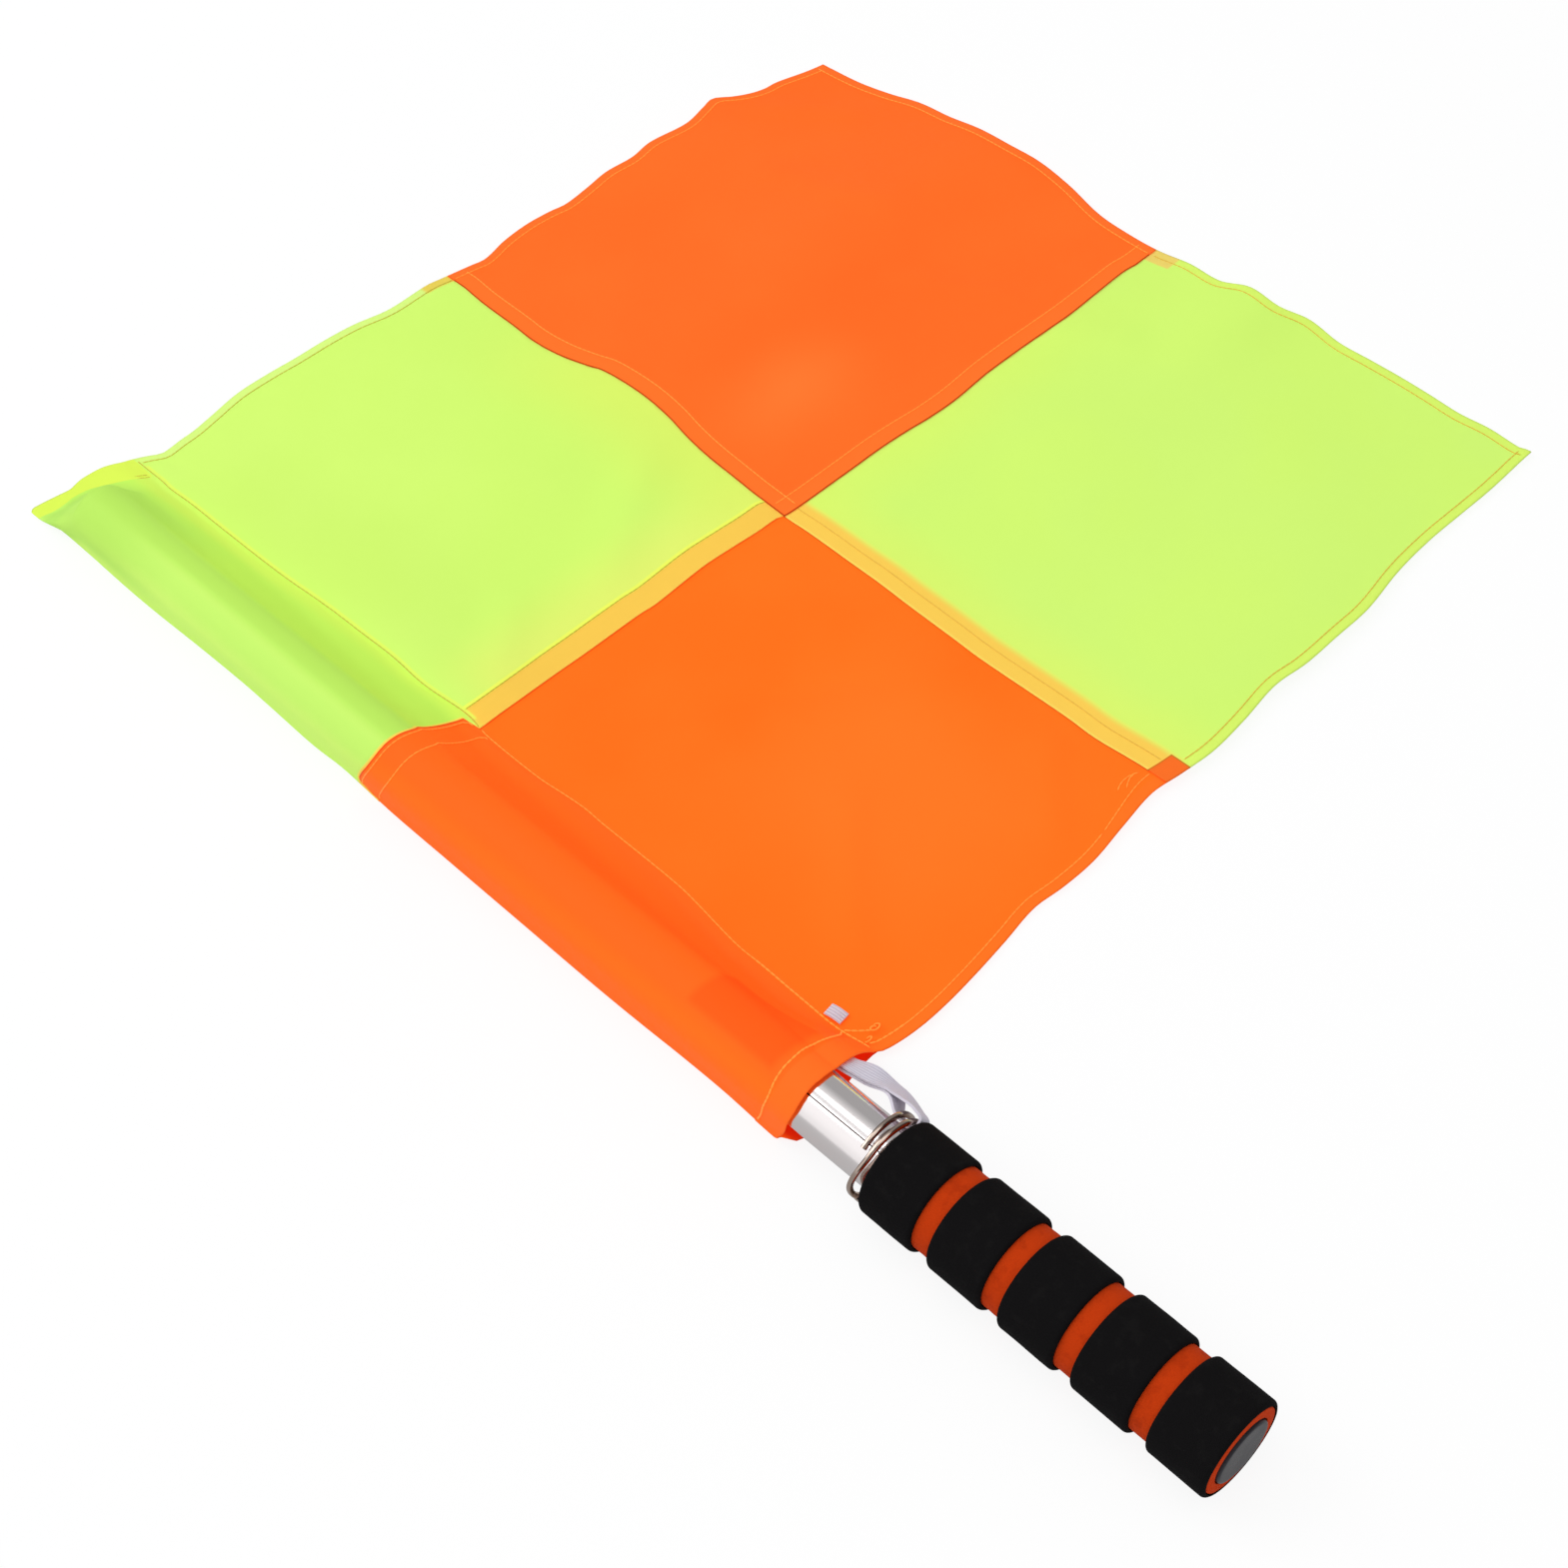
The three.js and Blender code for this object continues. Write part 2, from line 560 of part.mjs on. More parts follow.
// The outline at its place along the pole: pressed flat past the tip, and raised at the mouth over the pole
function sleeveSection(along, inset, shift = 0) {
  const place = clothY(0, along) + shift;
  const closing = smooth((place - closingStart) / (tipEdge(0) - closingStart));
  const topHeight = axisHeight + wrapRadius;
  const mouth = Math.max(0, 1 - (place - MOUTH_PLACE) / SLEEVE_MOUTH_REACH);
  return sleeveOutline(along, inset).map((point) => {
    const fromFold = smooth((point.x + wrapRadius) / (STITCH_OFFSET + wrapRadius));
    const pressed = stitchHeight(along) * fromFold + (point.y / topHeight) * SLEEVE_TIP_HEIGHT;
    const height = THREE.MathUtils.lerp(point.y, pressed, closing);
    const rise = SLEEVE_MOUTH_RISE * (point.y / topHeight) ** 2 * Math.min(mouth, 1);
    const reach = SLEEVE_TIP_REACH * closing * (1 - fromFold);
    return new THREE.Vector3(point.x, place - rise + reach, height);
  });
}

// Share along the stitch line whose place along the pole is given, in the tip half
function alongAt(place) {
  return THREE.MathUtils.mapLinear(place, crossSeam(0), tipEdge(0), crossShare, 1);
}

function evenly(start, end, steps) {
  return Array.from({ length: steps + 1 }, (_, step) => THREE.MathUtils.lerp(start, end, step / steps));
}

// Sleeve half: the outside loft less the inside one, which runs out past each open end.
// The tip half has extra rows past the pole, where it is pressed flat and sewn shut.
function sleeveHalf(alongStart, alongEnd, gaps, closed) {
  const straightEnd = closed ? alongAt(closingStart) : alongEnd;
  const straight = evenly(alongStart, straightEnd, PANEL_STEPS);
  const pressed = closed ? evenly(straightEnd, alongEnd, SLEEVE_TIP_STEPS).slice(1) : [];
  const outside = straight.map((along) => sleeveSection(along, 0));
  outside[0] = sleeveSection(alongStart, 0, gaps.butt);
  if (!closed) outside[PANEL_STEPS] = sleeveSection(alongEnd, 0, -gaps.tip);
  outside.push(...pressed.map((along) => sleeveSection(along, 0)));
  const inside = straight.slice(0, -1).map((along) => sleeveSection(along, CLOTH));
  inside.unshift(sleeveSection(alongStart, CLOTH, -OVERRUN));
  inside.push(sleeveSection(closed ? alongAt(voidEnd) : alongEnd, CLOTH, closed ? 0 : OVERRUN));
  return toSolid(loft(outside)).subtract(toSolid(loft(inside)));
}

function buildQuarter(name, hoist, butt, material) {
  const half = SEAM_GAP / 2;
  const gaps = {
    start: hoist ? 0 : half, end: hoist ? half : 0, butt: butt ? 0 : half, tip: butt ? half : 0,
  };
  const across = hoist ? [0, midShare] : [midShare, 1];
  const along = butt ? [0, crossShare] : [crossShare, 1];
  const panel = sheet(across[0], across[1], along[0], along[1], gaps);
  if (!hoist) {
    addPiece(name, panel, material);
    return;
  }
  const sleeve = sleeveHalf(along[0], along[1], gaps, !butt);
  addPiece(name, toGeometry(sleeve.add(toSolid(panel))), material);
}

function buildFlag() {
  buildQuarter('cloth_tip_hoist', true, false, yellowCloth);
  buildQuarter('cloth_tip_fly', false, false, orangeCloth);
  buildQuarter('cloth_butt_hoist', true, true, orangeCloth);
  buildQuarter('cloth_butt_fly', false, true, yellowCloth);
}

// Point at a radius, an angle in degrees and a place along the pole
function aroundPole(radius, angle, place) {
  const turn = radians(angle);
  return new THREE.Vector3(radius * Math.cos(turn), place, axisHeight + radius * Math.sin(turn));
}

// Direction square to the pole at an angle from +X, in degrees
function facing(angle) {
  return new THREE.Vector3(Math.cos(radians(angle)), 0, Math.sin(radians(angle)));
}

// Route of the elastic: out of the sleeve, over to the ring, round both turns of it and back under itself.
// Each stop is a point and the angle that the elastic's outer face looks towards there.
function elasticRoute() {
  const layer = ELASTIC_THICKNESS / 2;
  const half = layer + CLEARANCE / 2;
  const inner = poleRadius + ELASTIC_POLE_CLEARANCE + layer;
  const outer = ringOuter + CLEARANCE + layer;
  const gripSide = GRIP_LENGTH + CLEARANCE + layer;
  const farSide = GRIP_LENGTH + RING_STANDOFF + turnPitch + RING_SPREAD + RING_WIRE_WIDTH;
  const exit = MOUTH_PLACE - SLEEVE_MOUTH_RISE / 2;
  const split = THREE.MathUtils.lerp(farSide, exit, ELASTIC_SPLIT_SHARE);
  const beside = (radius, place) => [aroundPole(radius, ELASTIC_RING_ANGLE, place), ELASTIC_RING_ANGLE];
  const layers = (standoff, angle, look, place) => (side) => {
    const middle = aroundPole(wrapRadius + standoff, angle, place);
    return [middle.addScaledVector(facing(look), side * half), look];
  };
  const pocket = [
    layers(ELASTIC_TAIL_STANDOFF, ELASTIC_TAIL_ANGLE, ELASTIC_TAIL_FACING, MOUTH_PLACE + ELASTIC_TAIL),
    layers(ELASTIC_EXIT_STANDOFF, ELASTIC_EXIT_ANGLE, ELASTIC_EXIT_FACING, exit),
    layers(ELASTIC_ARCH_STANDOFF, ELASTIC_ARCH_ANGLE, ELASTIC_ARCH_FACING, (split + exit) / 2),
    layers(ELASTIC_SPLIT_STANDOFF, ELASTIC_SPLIT_ANGLE, ELASTIC_SPLIT_FACING, split),
  ];
  return [
    ...pocket.map((stop) => stop(1)),
    beside(outer + ELASTIC_THICKNESS, GRIP_LENGTH + RING_STANDOFF + RING_WIRE_WIDTH),
    beside(outer, gripSide + layer),
    beside((outer + inner) / 2, gripSide),
    beside(inner, gripSide + layer),
    beside(inner, (gripSide + farSide) / 2),
    beside(inner + layer, farSide + layer),
    ...pocket.map((stop) => stop(-1)).reverse(),
  ];
}

// Flat elastic, with its width square to its route and to the way that it faces
function buildElastic() {
  const route = elasticRoute();
  const curve = new THREE.CatmullRomCurve3(route.map(([point]) => point), false, 'centripetal');
  const angles = route.map(([, angle], stop) => [stop / (route.length - 1), angle]);
  const sections = [];
  const steps = (route.length - 1) * ELASTIC_STEPS;
  for (let step = 0; step <= steps; step++) {
    const share = step / steps;
    const point = curve.getPoint(share);
    const forward = curve.getTangent(share);
    const wide = new THREE.Vector3(0, 1, 0).cross(facing(fromTable(angles, share)));
    wide.addScaledVector(forward, -wide.dot(forward)).normalize();
    const thick = forward.clone().cross(wide).multiplyScalar(ELASTIC_THICKNESS / 2);
    wide.multiplyScalar(ELASTIC_WIDTH / 2);
    sections.push([[1, 1], [-1, 1], [-1, -1], [1, -1]].map(
      ([a, b]) => point.clone().addScaledVector(wide, a).addScaledVector(thick, b)));
  }
  addPiece('elastic_loop', loft(sections), whiteElastic);
}

// The origin goes to the middle of the whole part's underside
function centreOnFloor() {
  const box = new THREE.Box3().setFromObject(group);
  const middle = box.getCenter(new THREE.Vector3());
  group.position.set(-middle.x, -middle.y, -box.min.z);
}

buildGrip();
buildPole();
buildButtPlug();
buildTipPlug();
buildRing();
buildElastic();
buildFlag();
centreOnFloor();

export default group;
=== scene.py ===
"""Looks of a linesman flag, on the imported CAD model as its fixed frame.

Lengths in this file are millimetres, counted from the pole's axis, the grip's butt and the floor, and are turned into
the row frame's metres where a point is placed.
"""

from __future__ import annotations

import logging
import math
from bisect import bisect_right
from dataclasses import dataclass, field
from enum import Enum
from typing import Callable, Iterable, Sequence

import bmesh
import bpy
from mathutils import Matrix, Vector, noise

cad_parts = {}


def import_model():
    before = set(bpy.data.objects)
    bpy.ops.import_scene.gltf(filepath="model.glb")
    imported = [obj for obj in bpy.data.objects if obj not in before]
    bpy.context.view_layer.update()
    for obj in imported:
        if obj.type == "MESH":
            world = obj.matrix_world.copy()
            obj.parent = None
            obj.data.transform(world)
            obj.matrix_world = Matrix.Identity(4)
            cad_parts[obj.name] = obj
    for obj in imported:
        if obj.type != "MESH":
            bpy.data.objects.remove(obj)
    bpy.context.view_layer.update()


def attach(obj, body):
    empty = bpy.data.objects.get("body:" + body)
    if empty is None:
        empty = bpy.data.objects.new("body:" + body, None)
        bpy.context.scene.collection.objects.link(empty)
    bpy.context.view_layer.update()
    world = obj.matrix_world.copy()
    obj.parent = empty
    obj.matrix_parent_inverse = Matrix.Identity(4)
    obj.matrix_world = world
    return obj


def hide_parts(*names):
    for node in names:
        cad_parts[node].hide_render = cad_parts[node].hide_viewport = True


LOG = logging.getLogger("linesman_flag")
MM = 0.001
AXIS_HEIGHT = 15.0
ORIGIN = Vector((-0.17198, -0.2581, 0.0))
MERGED = 0.000002
CUT_SHARE = 0.3

Colour = tuple[float, float, float, float]
WHITE: Colour = (1.0, 1.0, 1.0, 1.0)


def row(point: Sequence[float]) -> Vector:
    """Turns a point in millimetres from the pole's axis and the grip's butt into the row frame's metres."""
    return ORIGIN + Vector(point) * MM


def srgb(red: float, green: float, blue: float) -> Colour:
    """Turns a screen colour of 0 to 255 a channel into the linear colour that shaders take.

    Args:
        red: The red channel.
        green: The green channel.
        blue: The blue channel.

    Returns:
        The linear colour, with full alpha.
    """
    linear = [(c / 255) / 12.92 if c / 255 <= 0.04045 else ((c / 255 + 0.055) / 1.055) ** 2.4
              for c in (red, green, blue)]
    return (linear[0], linear[1], linear[2], 1.0)


def clamp(value: float, low: float = 0.0, high: float = 1.0) -> float:
    """Keeps a value between two limits."""
    return max(low, min(high, value))


def lerp(start: float, end: float, share: float) -> float:
    """Goes from start to end by a share."""
    return start + (end - start) * share


def smooth(share: float) -> float:
    """Eases a share in and out, and keeps it from 0 to 1."""
    share = clamp(share)
    return share * share * (3 - 2 * share)


def shares(count: int, first: int = 0) -> list[float]:
    """Gives the shares of 1 that even steps reach, from the first step to the last."""
    return [step / count for step in range(first, count + 1)]


class Value:
    """A shader socket of one number that Python's operators work on."""

    def __init__(self, shader: "Shader", socket: bpy.types.NodeSocket) -> None:
        """Keeps the socket and the shader that it belongs to."""
        self.shader = shader
        self.socket = socket

    def __add__(self, other: "Number") -> "Value":
        """Adds."""
        return self.shader.maths("ADD", self, other)

    def __radd__(self, other: "Number") -> "Value":
        """Adds to a number."""
        return self.shader.maths("ADD", other, self)

    def __sub__(self, other: "Number") -> "Value":
        """Takes away."""
        return self.shader.maths("SUBTRACT", self, other)

    def __rsub__(self, other: "Number") -> "Value":
        """Takes away from a number."""
        return self.shader.maths("SUBTRACT", other, self)

    def __mul__(self, other: "Number") -> "Value":
        """Multiplies."""
        return self.shader.maths("MULTIPLY", self, other)

    def __rmul__(self, other: "Number") -> "Value":
        """Multiplies a number."""
        return self.shader.maths("MULTIPLY", other, self)

    def largest(self, other: "Number") -> "Value":
        """Takes the larger of two."""
        return self.shader.maths("MAXIMUM", self, other)


Number = Value | float


class Shader:
    """Builds one tree of shader nodes, for a material or for the world."""

    def __init__(self, name: str, world: bpy.types.World | None = None) -> None:
        """Starts an empty material of that name, or empties the world's own tree.

        Args:
            name: The material's name.
            world: The world, or None for a new material.
        """
        self.owner = world or bpy.data.materials.new(name)
        self.owner.use_nodes = True
        self.nodes = self.owner.node_tree.nodes
        self.links = self.owner.node_tree.links
        self.nodes.clear()

    def feed(self, socket: bpy.types.NodeSocket, value: object) -> None:
        """Links a socket to a value's node, or sets it where the value is plain.

        Args:
            socket: The input socket.
            value: A value, another node's socket or a plain value.
        """
        if isinstance(value, Value):
            self.links.new(value.socket, socket)
        elif isinstance(value, bpy.types.NodeSocket):
            self.links.new(value, socket)
        else:
            socket.default_value = value

    def node(self, kind: str, settings: dict[str, object] | None = None,
             inputs: dict[str | int, object] | None = None) -> bpy.types.Node:
        """Adds a node.

        Args:
            kind: The node's type.
            settings: The node's own settings, which are set first. A ramp's stops are pairs of place and grey level.
            inputs: The values or links of its sockets, by name or number.

        Returns:
            The node.
        """
        made = self.nodes.new(kind)
        for name, value in (settings or {}).items():
            if name == "stops":
                self.set_stops(made.color_ramp.elements, value)
            else:
                setattr(made, name, value)
        for name, value in (inputs or {}).items():
            self.feed(made.inputs[name], value)
        return made

    def set_stops(self, elements: bpy.types.ColorRampElements, stops: Sequence[tuple[float, float]]) -> None:
        """Gives a ramp its grey stops, in order from place 0 to place 1.

        Args:
            elements: The ramp's elements.
            stops: Pairs of place and level.
        """
        for place, _ in stops[1:-1]:
            elements.new(place)
        for element, (place, level) in zip(elements, stops):
            element.position = place
            element.color = (level, level, level, 1.0)

    def maths(self, operation: str, first: Number, second: Number) -> Value:
        """Adds a Math node and gives its result."""
        made = self.node("ShaderNodeMath", {"operation": operation}, {0: first, 1: second})
        return Value(self, made.outputs[0])

    def mix(self, factor: Number, first: object, second: object) -> bpy.types.NodeSocket:
        """Mixes two colours by a factor."""
        made = self.node("ShaderNodeMix", {"data_type": "RGBA"}, {0: factor, 6: first, 7: second})
        return made.outputs[2]

    def ease(self, value: Number, start: float, end: float, most: float = 1.0) -> Value:
        """Rises smoothly from 0 at start to most at end, where end may lie below start.

        Args:
            value: What rises.
            start: Where the rise starts.
            end: Where it ends.
            most: The level at its end.

        Returns:
            The level.
        """
        low, high = (start, end) if start < end else (end, start)
        rise = (0.0, most) if start < end else (most, 0.0)
        made = self.node("ShaderNodeMapRange", {"interpolation_type": "SMOOTHSTEP"},
                         {0: value, 1: low, 2: high, 3: rise[0], 4: rise[1]})
        return Value(self, made.outputs[0])

    def between(self, value: Number, low: float, high: float, soft: float) -> Value:
        """Is 1 between two values and 0 outside, with soft edges."""
        return self.ease(value, low - soft, low + soft) * self.ease(value, high + soft, high - soft)

    def zigzag(self, value: Number, pitch: float) -> Value:
        """Goes evenly from 0 to 1 and back in each pitch."""
        return self.maths("PINGPONG", value, pitch / 2) * (2 / pitch)

    def places(self) -> tuple[Value, Value]:
        """Gives the piece's own two coordinates, in millimetres along its surface.

        Returns:
            The place across the piece and the place along it.
        """
        uv = self.node("ShaderNodeUVMap", {"uv_map": "places"}).outputs[0]
        parts = self.node("ShaderNodeSeparateXYZ", inputs={0: uv})
        return Value(self, parts.outputs[0]) * (1 / MM), Value(self, parts.outputs[1]) * (1 / MM)

    def spots(self, scale: float, detail: float = 3.0, roughness: float = 0.55) -> Value:
        """Gives soft noise on Object coordinates, around 0.5.

        Args:
            scale: Spots in a metre.
            detail: How many finer layers the noise has.
            roughness: How strong the finer layers are.

        Returns:
            The noise.
        """
        where = self.node("ShaderNodeTexCoord").outputs["Object"]
        made = self.node("ShaderNodeTexNoise", inputs={
            "Vector": where, "Scale": scale, "Detail": detail, "Roughness": roughness})
        return Value(self, made.outputs[0])

    def around_pole(self) -> Value:
        """Gives the angle round the pole's axis, in radians from +X.

        Returns:
            The angle.
        """
        where = self.node("ShaderNodeTexCoord").outputs["Object"]
        parts = self.node("ShaderNodeSeparateXYZ", inputs={0: where})
        x = Value(self, parts.outputs[0]) - ORIGIN.x
        z = Value(self, parts.outputs[2]) - AXIS_HEIGHT * MM
        return self.maths("ARCTAN2", z, x)

    def bump(self, height: Value, distance: float, strength: float = 1.0) -> bpy.types.NodeSocket:
        """Gives a normal from a height in metres of distance."""
        made = self.node("ShaderNodeBump", inputs={"Height": height, "Distance": distance, "Strength": strength})
        return made.outputs[0]

    def principled(self, inputs: dict[str | int, object]) -> bpy.types.Material:
        """Ends the material with a Principled shader of these inputs.

        Args:
            inputs: The shader's inputs by name.

        Returns:
            The material.
        """
        body = self.node("ShaderNodeBsdfPrincipled", inputs=inputs)
        self.node("ShaderNodeOutputMaterial", inputs={0: body.outputs[0]})
        return self.owner


def scaled(colour: Colour, level: float) -> Colour:
    """Makes a colour darker or lighter by a level."""
    return (colour[0] * level, colour[1] * level, colour[2] * level, 1.0)


@dataclass(frozen=True)
class Metal:
    """A polished plate with faint wear."""

    name: str
    colour: Colour
    roughness: float
    smear: float
    seam: tuple[float, float] | None = None
    seam_colour: Colour = srgb(58, 50, 48)
    seam_soft: float = 0.005
    wear: float = 0.2
    worn_level: float = 0.86
    grain_depth: float = 0.000012
    grain_strength: float = 0.25

    def material(self) -> bpy.types.Material:
        """Makes the finish, with the dark line of a rolled seam between two angles round the pole.

        Returns:
            The material.
        """
        shader = Shader(self.name)
        haze = shader.spots(scale=90.0, detail=5.0)
        grain = shader.spots(scale=900.0, detail=2.0)
        worn = shader.mix(haze * self.wear, self.colour, scaled(self.colour, self.worn_level))
        if self.seam:
            in_seam = shader.between(shader.around_pole(), *self.seam, self.seam_soft)
            worn = shader.mix(in_seam, worn, self.seam_colour)
        return shader.principled({
            "Base Color": worn,
            "Metallic": 1.0,
            "Roughness": haze * self.smear + (self.roughness - self.smear / 2),
            "Normal": shader.bump(grain, self.grain_depth, self.grain_strength),
        })


@dataclass(frozen=True)
class Foam:
    """Matte closed-cell foam with a skin of fine pores."""

    name: str
    colour: Colour
    rubbed: Colour
    roughness: float = 0.82
    roughness_spread: float = 0.12
    pore_share: float = 0.6
    pore_depth: float = 0.00022

    def material(self) -> bpy.types.Material:
        """Makes the finish.

        Returns:
            The material.
        """
        shader = Shader(self.name)
        pores = shader.spots(scale=2600.0, detail=4.0, roughness=0.65)
        dents = shader.spots(scale=260.0, detail=3.0)
        rubbed = shader.ease(dents, 0.5, 0.72, most=0.55)
        height = pores * self.pore_share + dents * (1 - self.pore_share)
        return shader.principled({
            "Base Color": shader.mix(rubbed, self.colour, self.rubbed),
            "Roughness": pores * self.roughness_spread + self.roughness,
            "Specular IOR Level": 0.06,
            "Normal": shader.bump(height, self.pore_depth, strength=0.5),
        })


@dataclass(frozen=True)
class Plastic:
    """Smooth moulded plastic, dulled by handling."""

    name: str
    colour: Colour
    roughness: float = 0.14
    roughness_spread: float = 0.16
    flow_share: float = 0.5
    flow_level: float = 1.6
    flow_depth: float = 0.00005

    def material(self) -> bpy.types.Material:
        """Makes the finish.

        Returns:
            The material.
        """
        shader = Shader(self.name)
        flow = shader.spots(scale=160.0, detail=4.0)
        return shader.principled({
            "Base Color": shader.mix(flow * self.flow_share, self.colour, scaled(self.colour, self.flow_level)),
            "Roughness": flow * self.roughness_spread + self.roughness,
            "Specular IOR Level": 0.14,
            "Normal": shader.bump(flow, self.flow_depth, strength=0.3),
        })


@dataclass(frozen=True)
class Webbing:
    """Woven elastic with lengthwise ribs and painted shade in their grooves, on the piece's own map."""

    name: str
    colour: Colour
    groove_shade: Colour
    rib_pitch: float = 0.95
    knit_pitch: float = 0.56
    rib_share: float = 0.75
    rib_depth: float = 0.00022

    def material(self) -> bpy.types.Material:
        """Makes the finish.

        Returns:
            The material.
        """
        shader = Shader(self.name)
        across, along = shader.places()
        rib = shader.zigzag(across, self.rib_pitch)
        knit = shader.zigzag(along, self.knit_pitch)
        height = rib * self.rib_share + knit * (1 - self.rib_share)
        return shader.principled({
            # Painted shade: a darker colour in the grooves between the ribs.
            "Base Color": shader.mix(shader.ease(rib, 0.45, 0.05, most=0.6), self.colour, self.groove_shade),
            "Roughness": knit * 0.1 + 0.68,
            "Sheen Weight": 0.15,
            "Normal": shader.bump(height, self.rib_depth, strength=0.7),
        })


@dataclass(frozen=True)
class Thread:
    """Sewing thread with a painted glow of its own colour, as the cloth has, which makes it brighter."""

    name: str
    colour: Colour
    shade: Colour
    glow: float = 0.3
    twist_depth: float = 0.00008

    def material(self) -> bpy.types.Material:
        """Makes the finish.

        Returns:
            The material.
        """
        shader = Shader(self.name)
        twist = shader.spots(scale=3200.0, detail=2.0)
        colour = shader.mix(shader.ease(twist, 0.4, 0.65, most=0.6), self.colour, self.shade)
        return shader.principled({
            "Base Color": colour,
            # Painted glow of the thread's own colour.
            "Emission Color": colour,
            "Emission Strength": self.glow,
            "Roughness": twist * 0.2 + 0.45,
            "Sheen Weight": 0.1,
            "Normal": shader.bump(twist, self.twist_depth, strength=0.4),
        })


@dataclass(frozen=True)
class Mark:
    """A soft-edged colour on the cloth between limits in millimetres across and along it: some marks are the cloth's
    own colour, others are painted light and shade.
    """

    colour: Colour
    strength: float = 1.0
    across: tuple[float, float] = (-1000.0, 1000.0)
    along: tuple[float, float] = (-1000.0, 1000.0)
    soft_across: float = 0.5
    soft_along: float = 0.5


@dataclass(frozen=True)
class Cloth:
    """Thin fluorescent polyester with a painted glow of its own colour, tinted towards red on the orange quarters,
    which brightens it and flattens its shading.
    """

    name: str
    colour: Colour
    drift: Colour
    marks: tuple[Mark, ...]
    band: Colour | None = None
    glow: float = 0.12
    glow_tint: Colour | None = None
    tint_glow: float = 0.3
    glow_tint_share: float = 0.6
    thread_pitch: float = 0.17
    thread_height: float = 1.5
    slub_share: float = 0.5
    weave_depth: float = 0.00012

    def material(self) -> bpy.types.Material:
        """Makes the finish.

        Returns:
            The material.
        """
        shader = Shader(self.name)
        across, along = shader.places()
        drifted = shader.ease(shader.spots(scale=14.0, detail=2.0), 0.38, 0.68)
        colour: object = shader.mix(drifted, self.colour, self.drift)
        for mark in self.marks:
            inside = shader.between(across, *mark.across, mark.soft_across)
            inside = inside * shader.between(along, *mark.along, mark.soft_along) * mark.strength
            colour = shader.mix(inside, colour, mark.colour)
        if self.band:
            past = Value(shader, shader.node("ShaderNodeAttribute", {"attribute_name": "band"}).outputs["Fac"])
            colour = shader.mix(shader.ease(past, -0.4, 0.3), colour, self.band)
        warp = shader.maths("PINGPONG", across, self.thread_pitch)
        weft = shader.maths("PINGPONG", along, self.thread_pitch)
        slubs = shader.spots(scale=420.0, detail=3.0)
        height = (warp + weft) * self.thread_height + slubs * self.slub_share
        # Painted glow: the cloth gives off light of its own colour, mixed with the red glow tint where one is given.
        glow, lit = (self.tint_glow, shader.mix(self.glow_tint_share, colour, self.glow_tint)) if self.glow_tint else (self.glow, colour)
        return shader.principled({
            "Base Color": colour,
            "Roughness": slubs * 0.16 + 0.52,
            "Specular IOR Level": 0.06,
            "Emission Color": lit,
            "Emission Strength": glow,
            "Normal": shader.bump(height, self.weave_depth, strength=0.35),
        })


def new_object(name: str, bm: bmesh.types.BMesh, material: bpy.types.Material,
               sharp: float | None = None) -> bpy.types.Object:
    """Makes an object of a finished bmesh, whose place is in its mesh.

    Args:
        name: The piece's name.
        bm: The mesh in the row frame, in metres, which is freed.
        material: Its finish.
        sharp: The angle in degrees past which an edge is sharp, or None where all are smooth.

    Returns:
        The object.
    """
    mesh = bpy.data.meshes.new(name)
    bm.to_mesh(mesh)
    bm.free()
    mesh.shade_smooth()
    if sharp is not None:
        mesh.set_sharp_from_angle(angle=math.radians(sharp))
    mesh.materials.append(material)
    made = bpy.data.objects.new(name, mesh)
    bpy.context.scene.collection.objects.link(made)
    return made


def placed(made: bpy.types.Object, body: str, slot: str, *nodes: str) -> bpy.types.Object:
    """Hangs a finished object on its body, and hides the CAD nodes that it replaces.

    Args:
        made: The object.
        body: The body that it rides on.
        slot: The slot of its finish, which is not used.
        nodes: The CAD nodes that it replaces, if any.

    Returns:
        The object.
    """
    if nodes:
        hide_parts(*nodes)
    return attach(made, body)


def quarter_turn(step: int) -> list[float]:
    """Gives the angles of a quarter turn in steps of some degrees, in radians."""
    return [math.radians(degrees) for degrees in range(0, 91, step)]


def mapped(bm: bmesh.types.BMesh, across: bmesh.types.BMLayerItem, along: bmesh.types.BMLayerItem) -> None:
    """Gives a mesh its own map, from each vertex's places across and along the piece in metres.

    Args:
        bm: The mesh.
        across: The layer with each vertex's place across.
        along: The layer with its place along.
    """
    places = bm.loops.layers.uv.new("places")
    for face in bm.faces:
        for loop in face.loops:
            loop[places].uv = (loop.vert[across], loop.vert[along])


def turned(profile: Sequence[tuple[float, float]], segments: int) -> bmesh.types.BMesh:
    """Turns a profile about the pole's axis.

    Args:
        profile: Points as (radius, place along the pole), in order round the section.
        segments: Steps of the full turn.

    Returns:
        The closed mesh.
    """
    bm = bmesh.new()
    verts = [bm.verts.new(row((radius, place, AXIS_HEIGHT))) for radius, place in profile]
    edges = [bm.edges.new((verts[i], verts[(i + 1) % len(verts)])) for i in range(len(verts))
             if profile[i][0] > 0 or profile[(i + 1) % len(verts)][0] > 0]
    bmesh.ops.spin(bm, geom=verts + edges, cent=row((0, 0, AXIS_HEIGHT)), axis=(0, 1, 0), angle=2 * math.pi,
                   steps=segments, use_merge=True)
    bmesh.ops.remove_doubles(bm, verts=bm.verts[:], dist=MERGED)
    bmesh.ops.recalc_face_normals(bm, faces=bm.faces[:])
    return bm


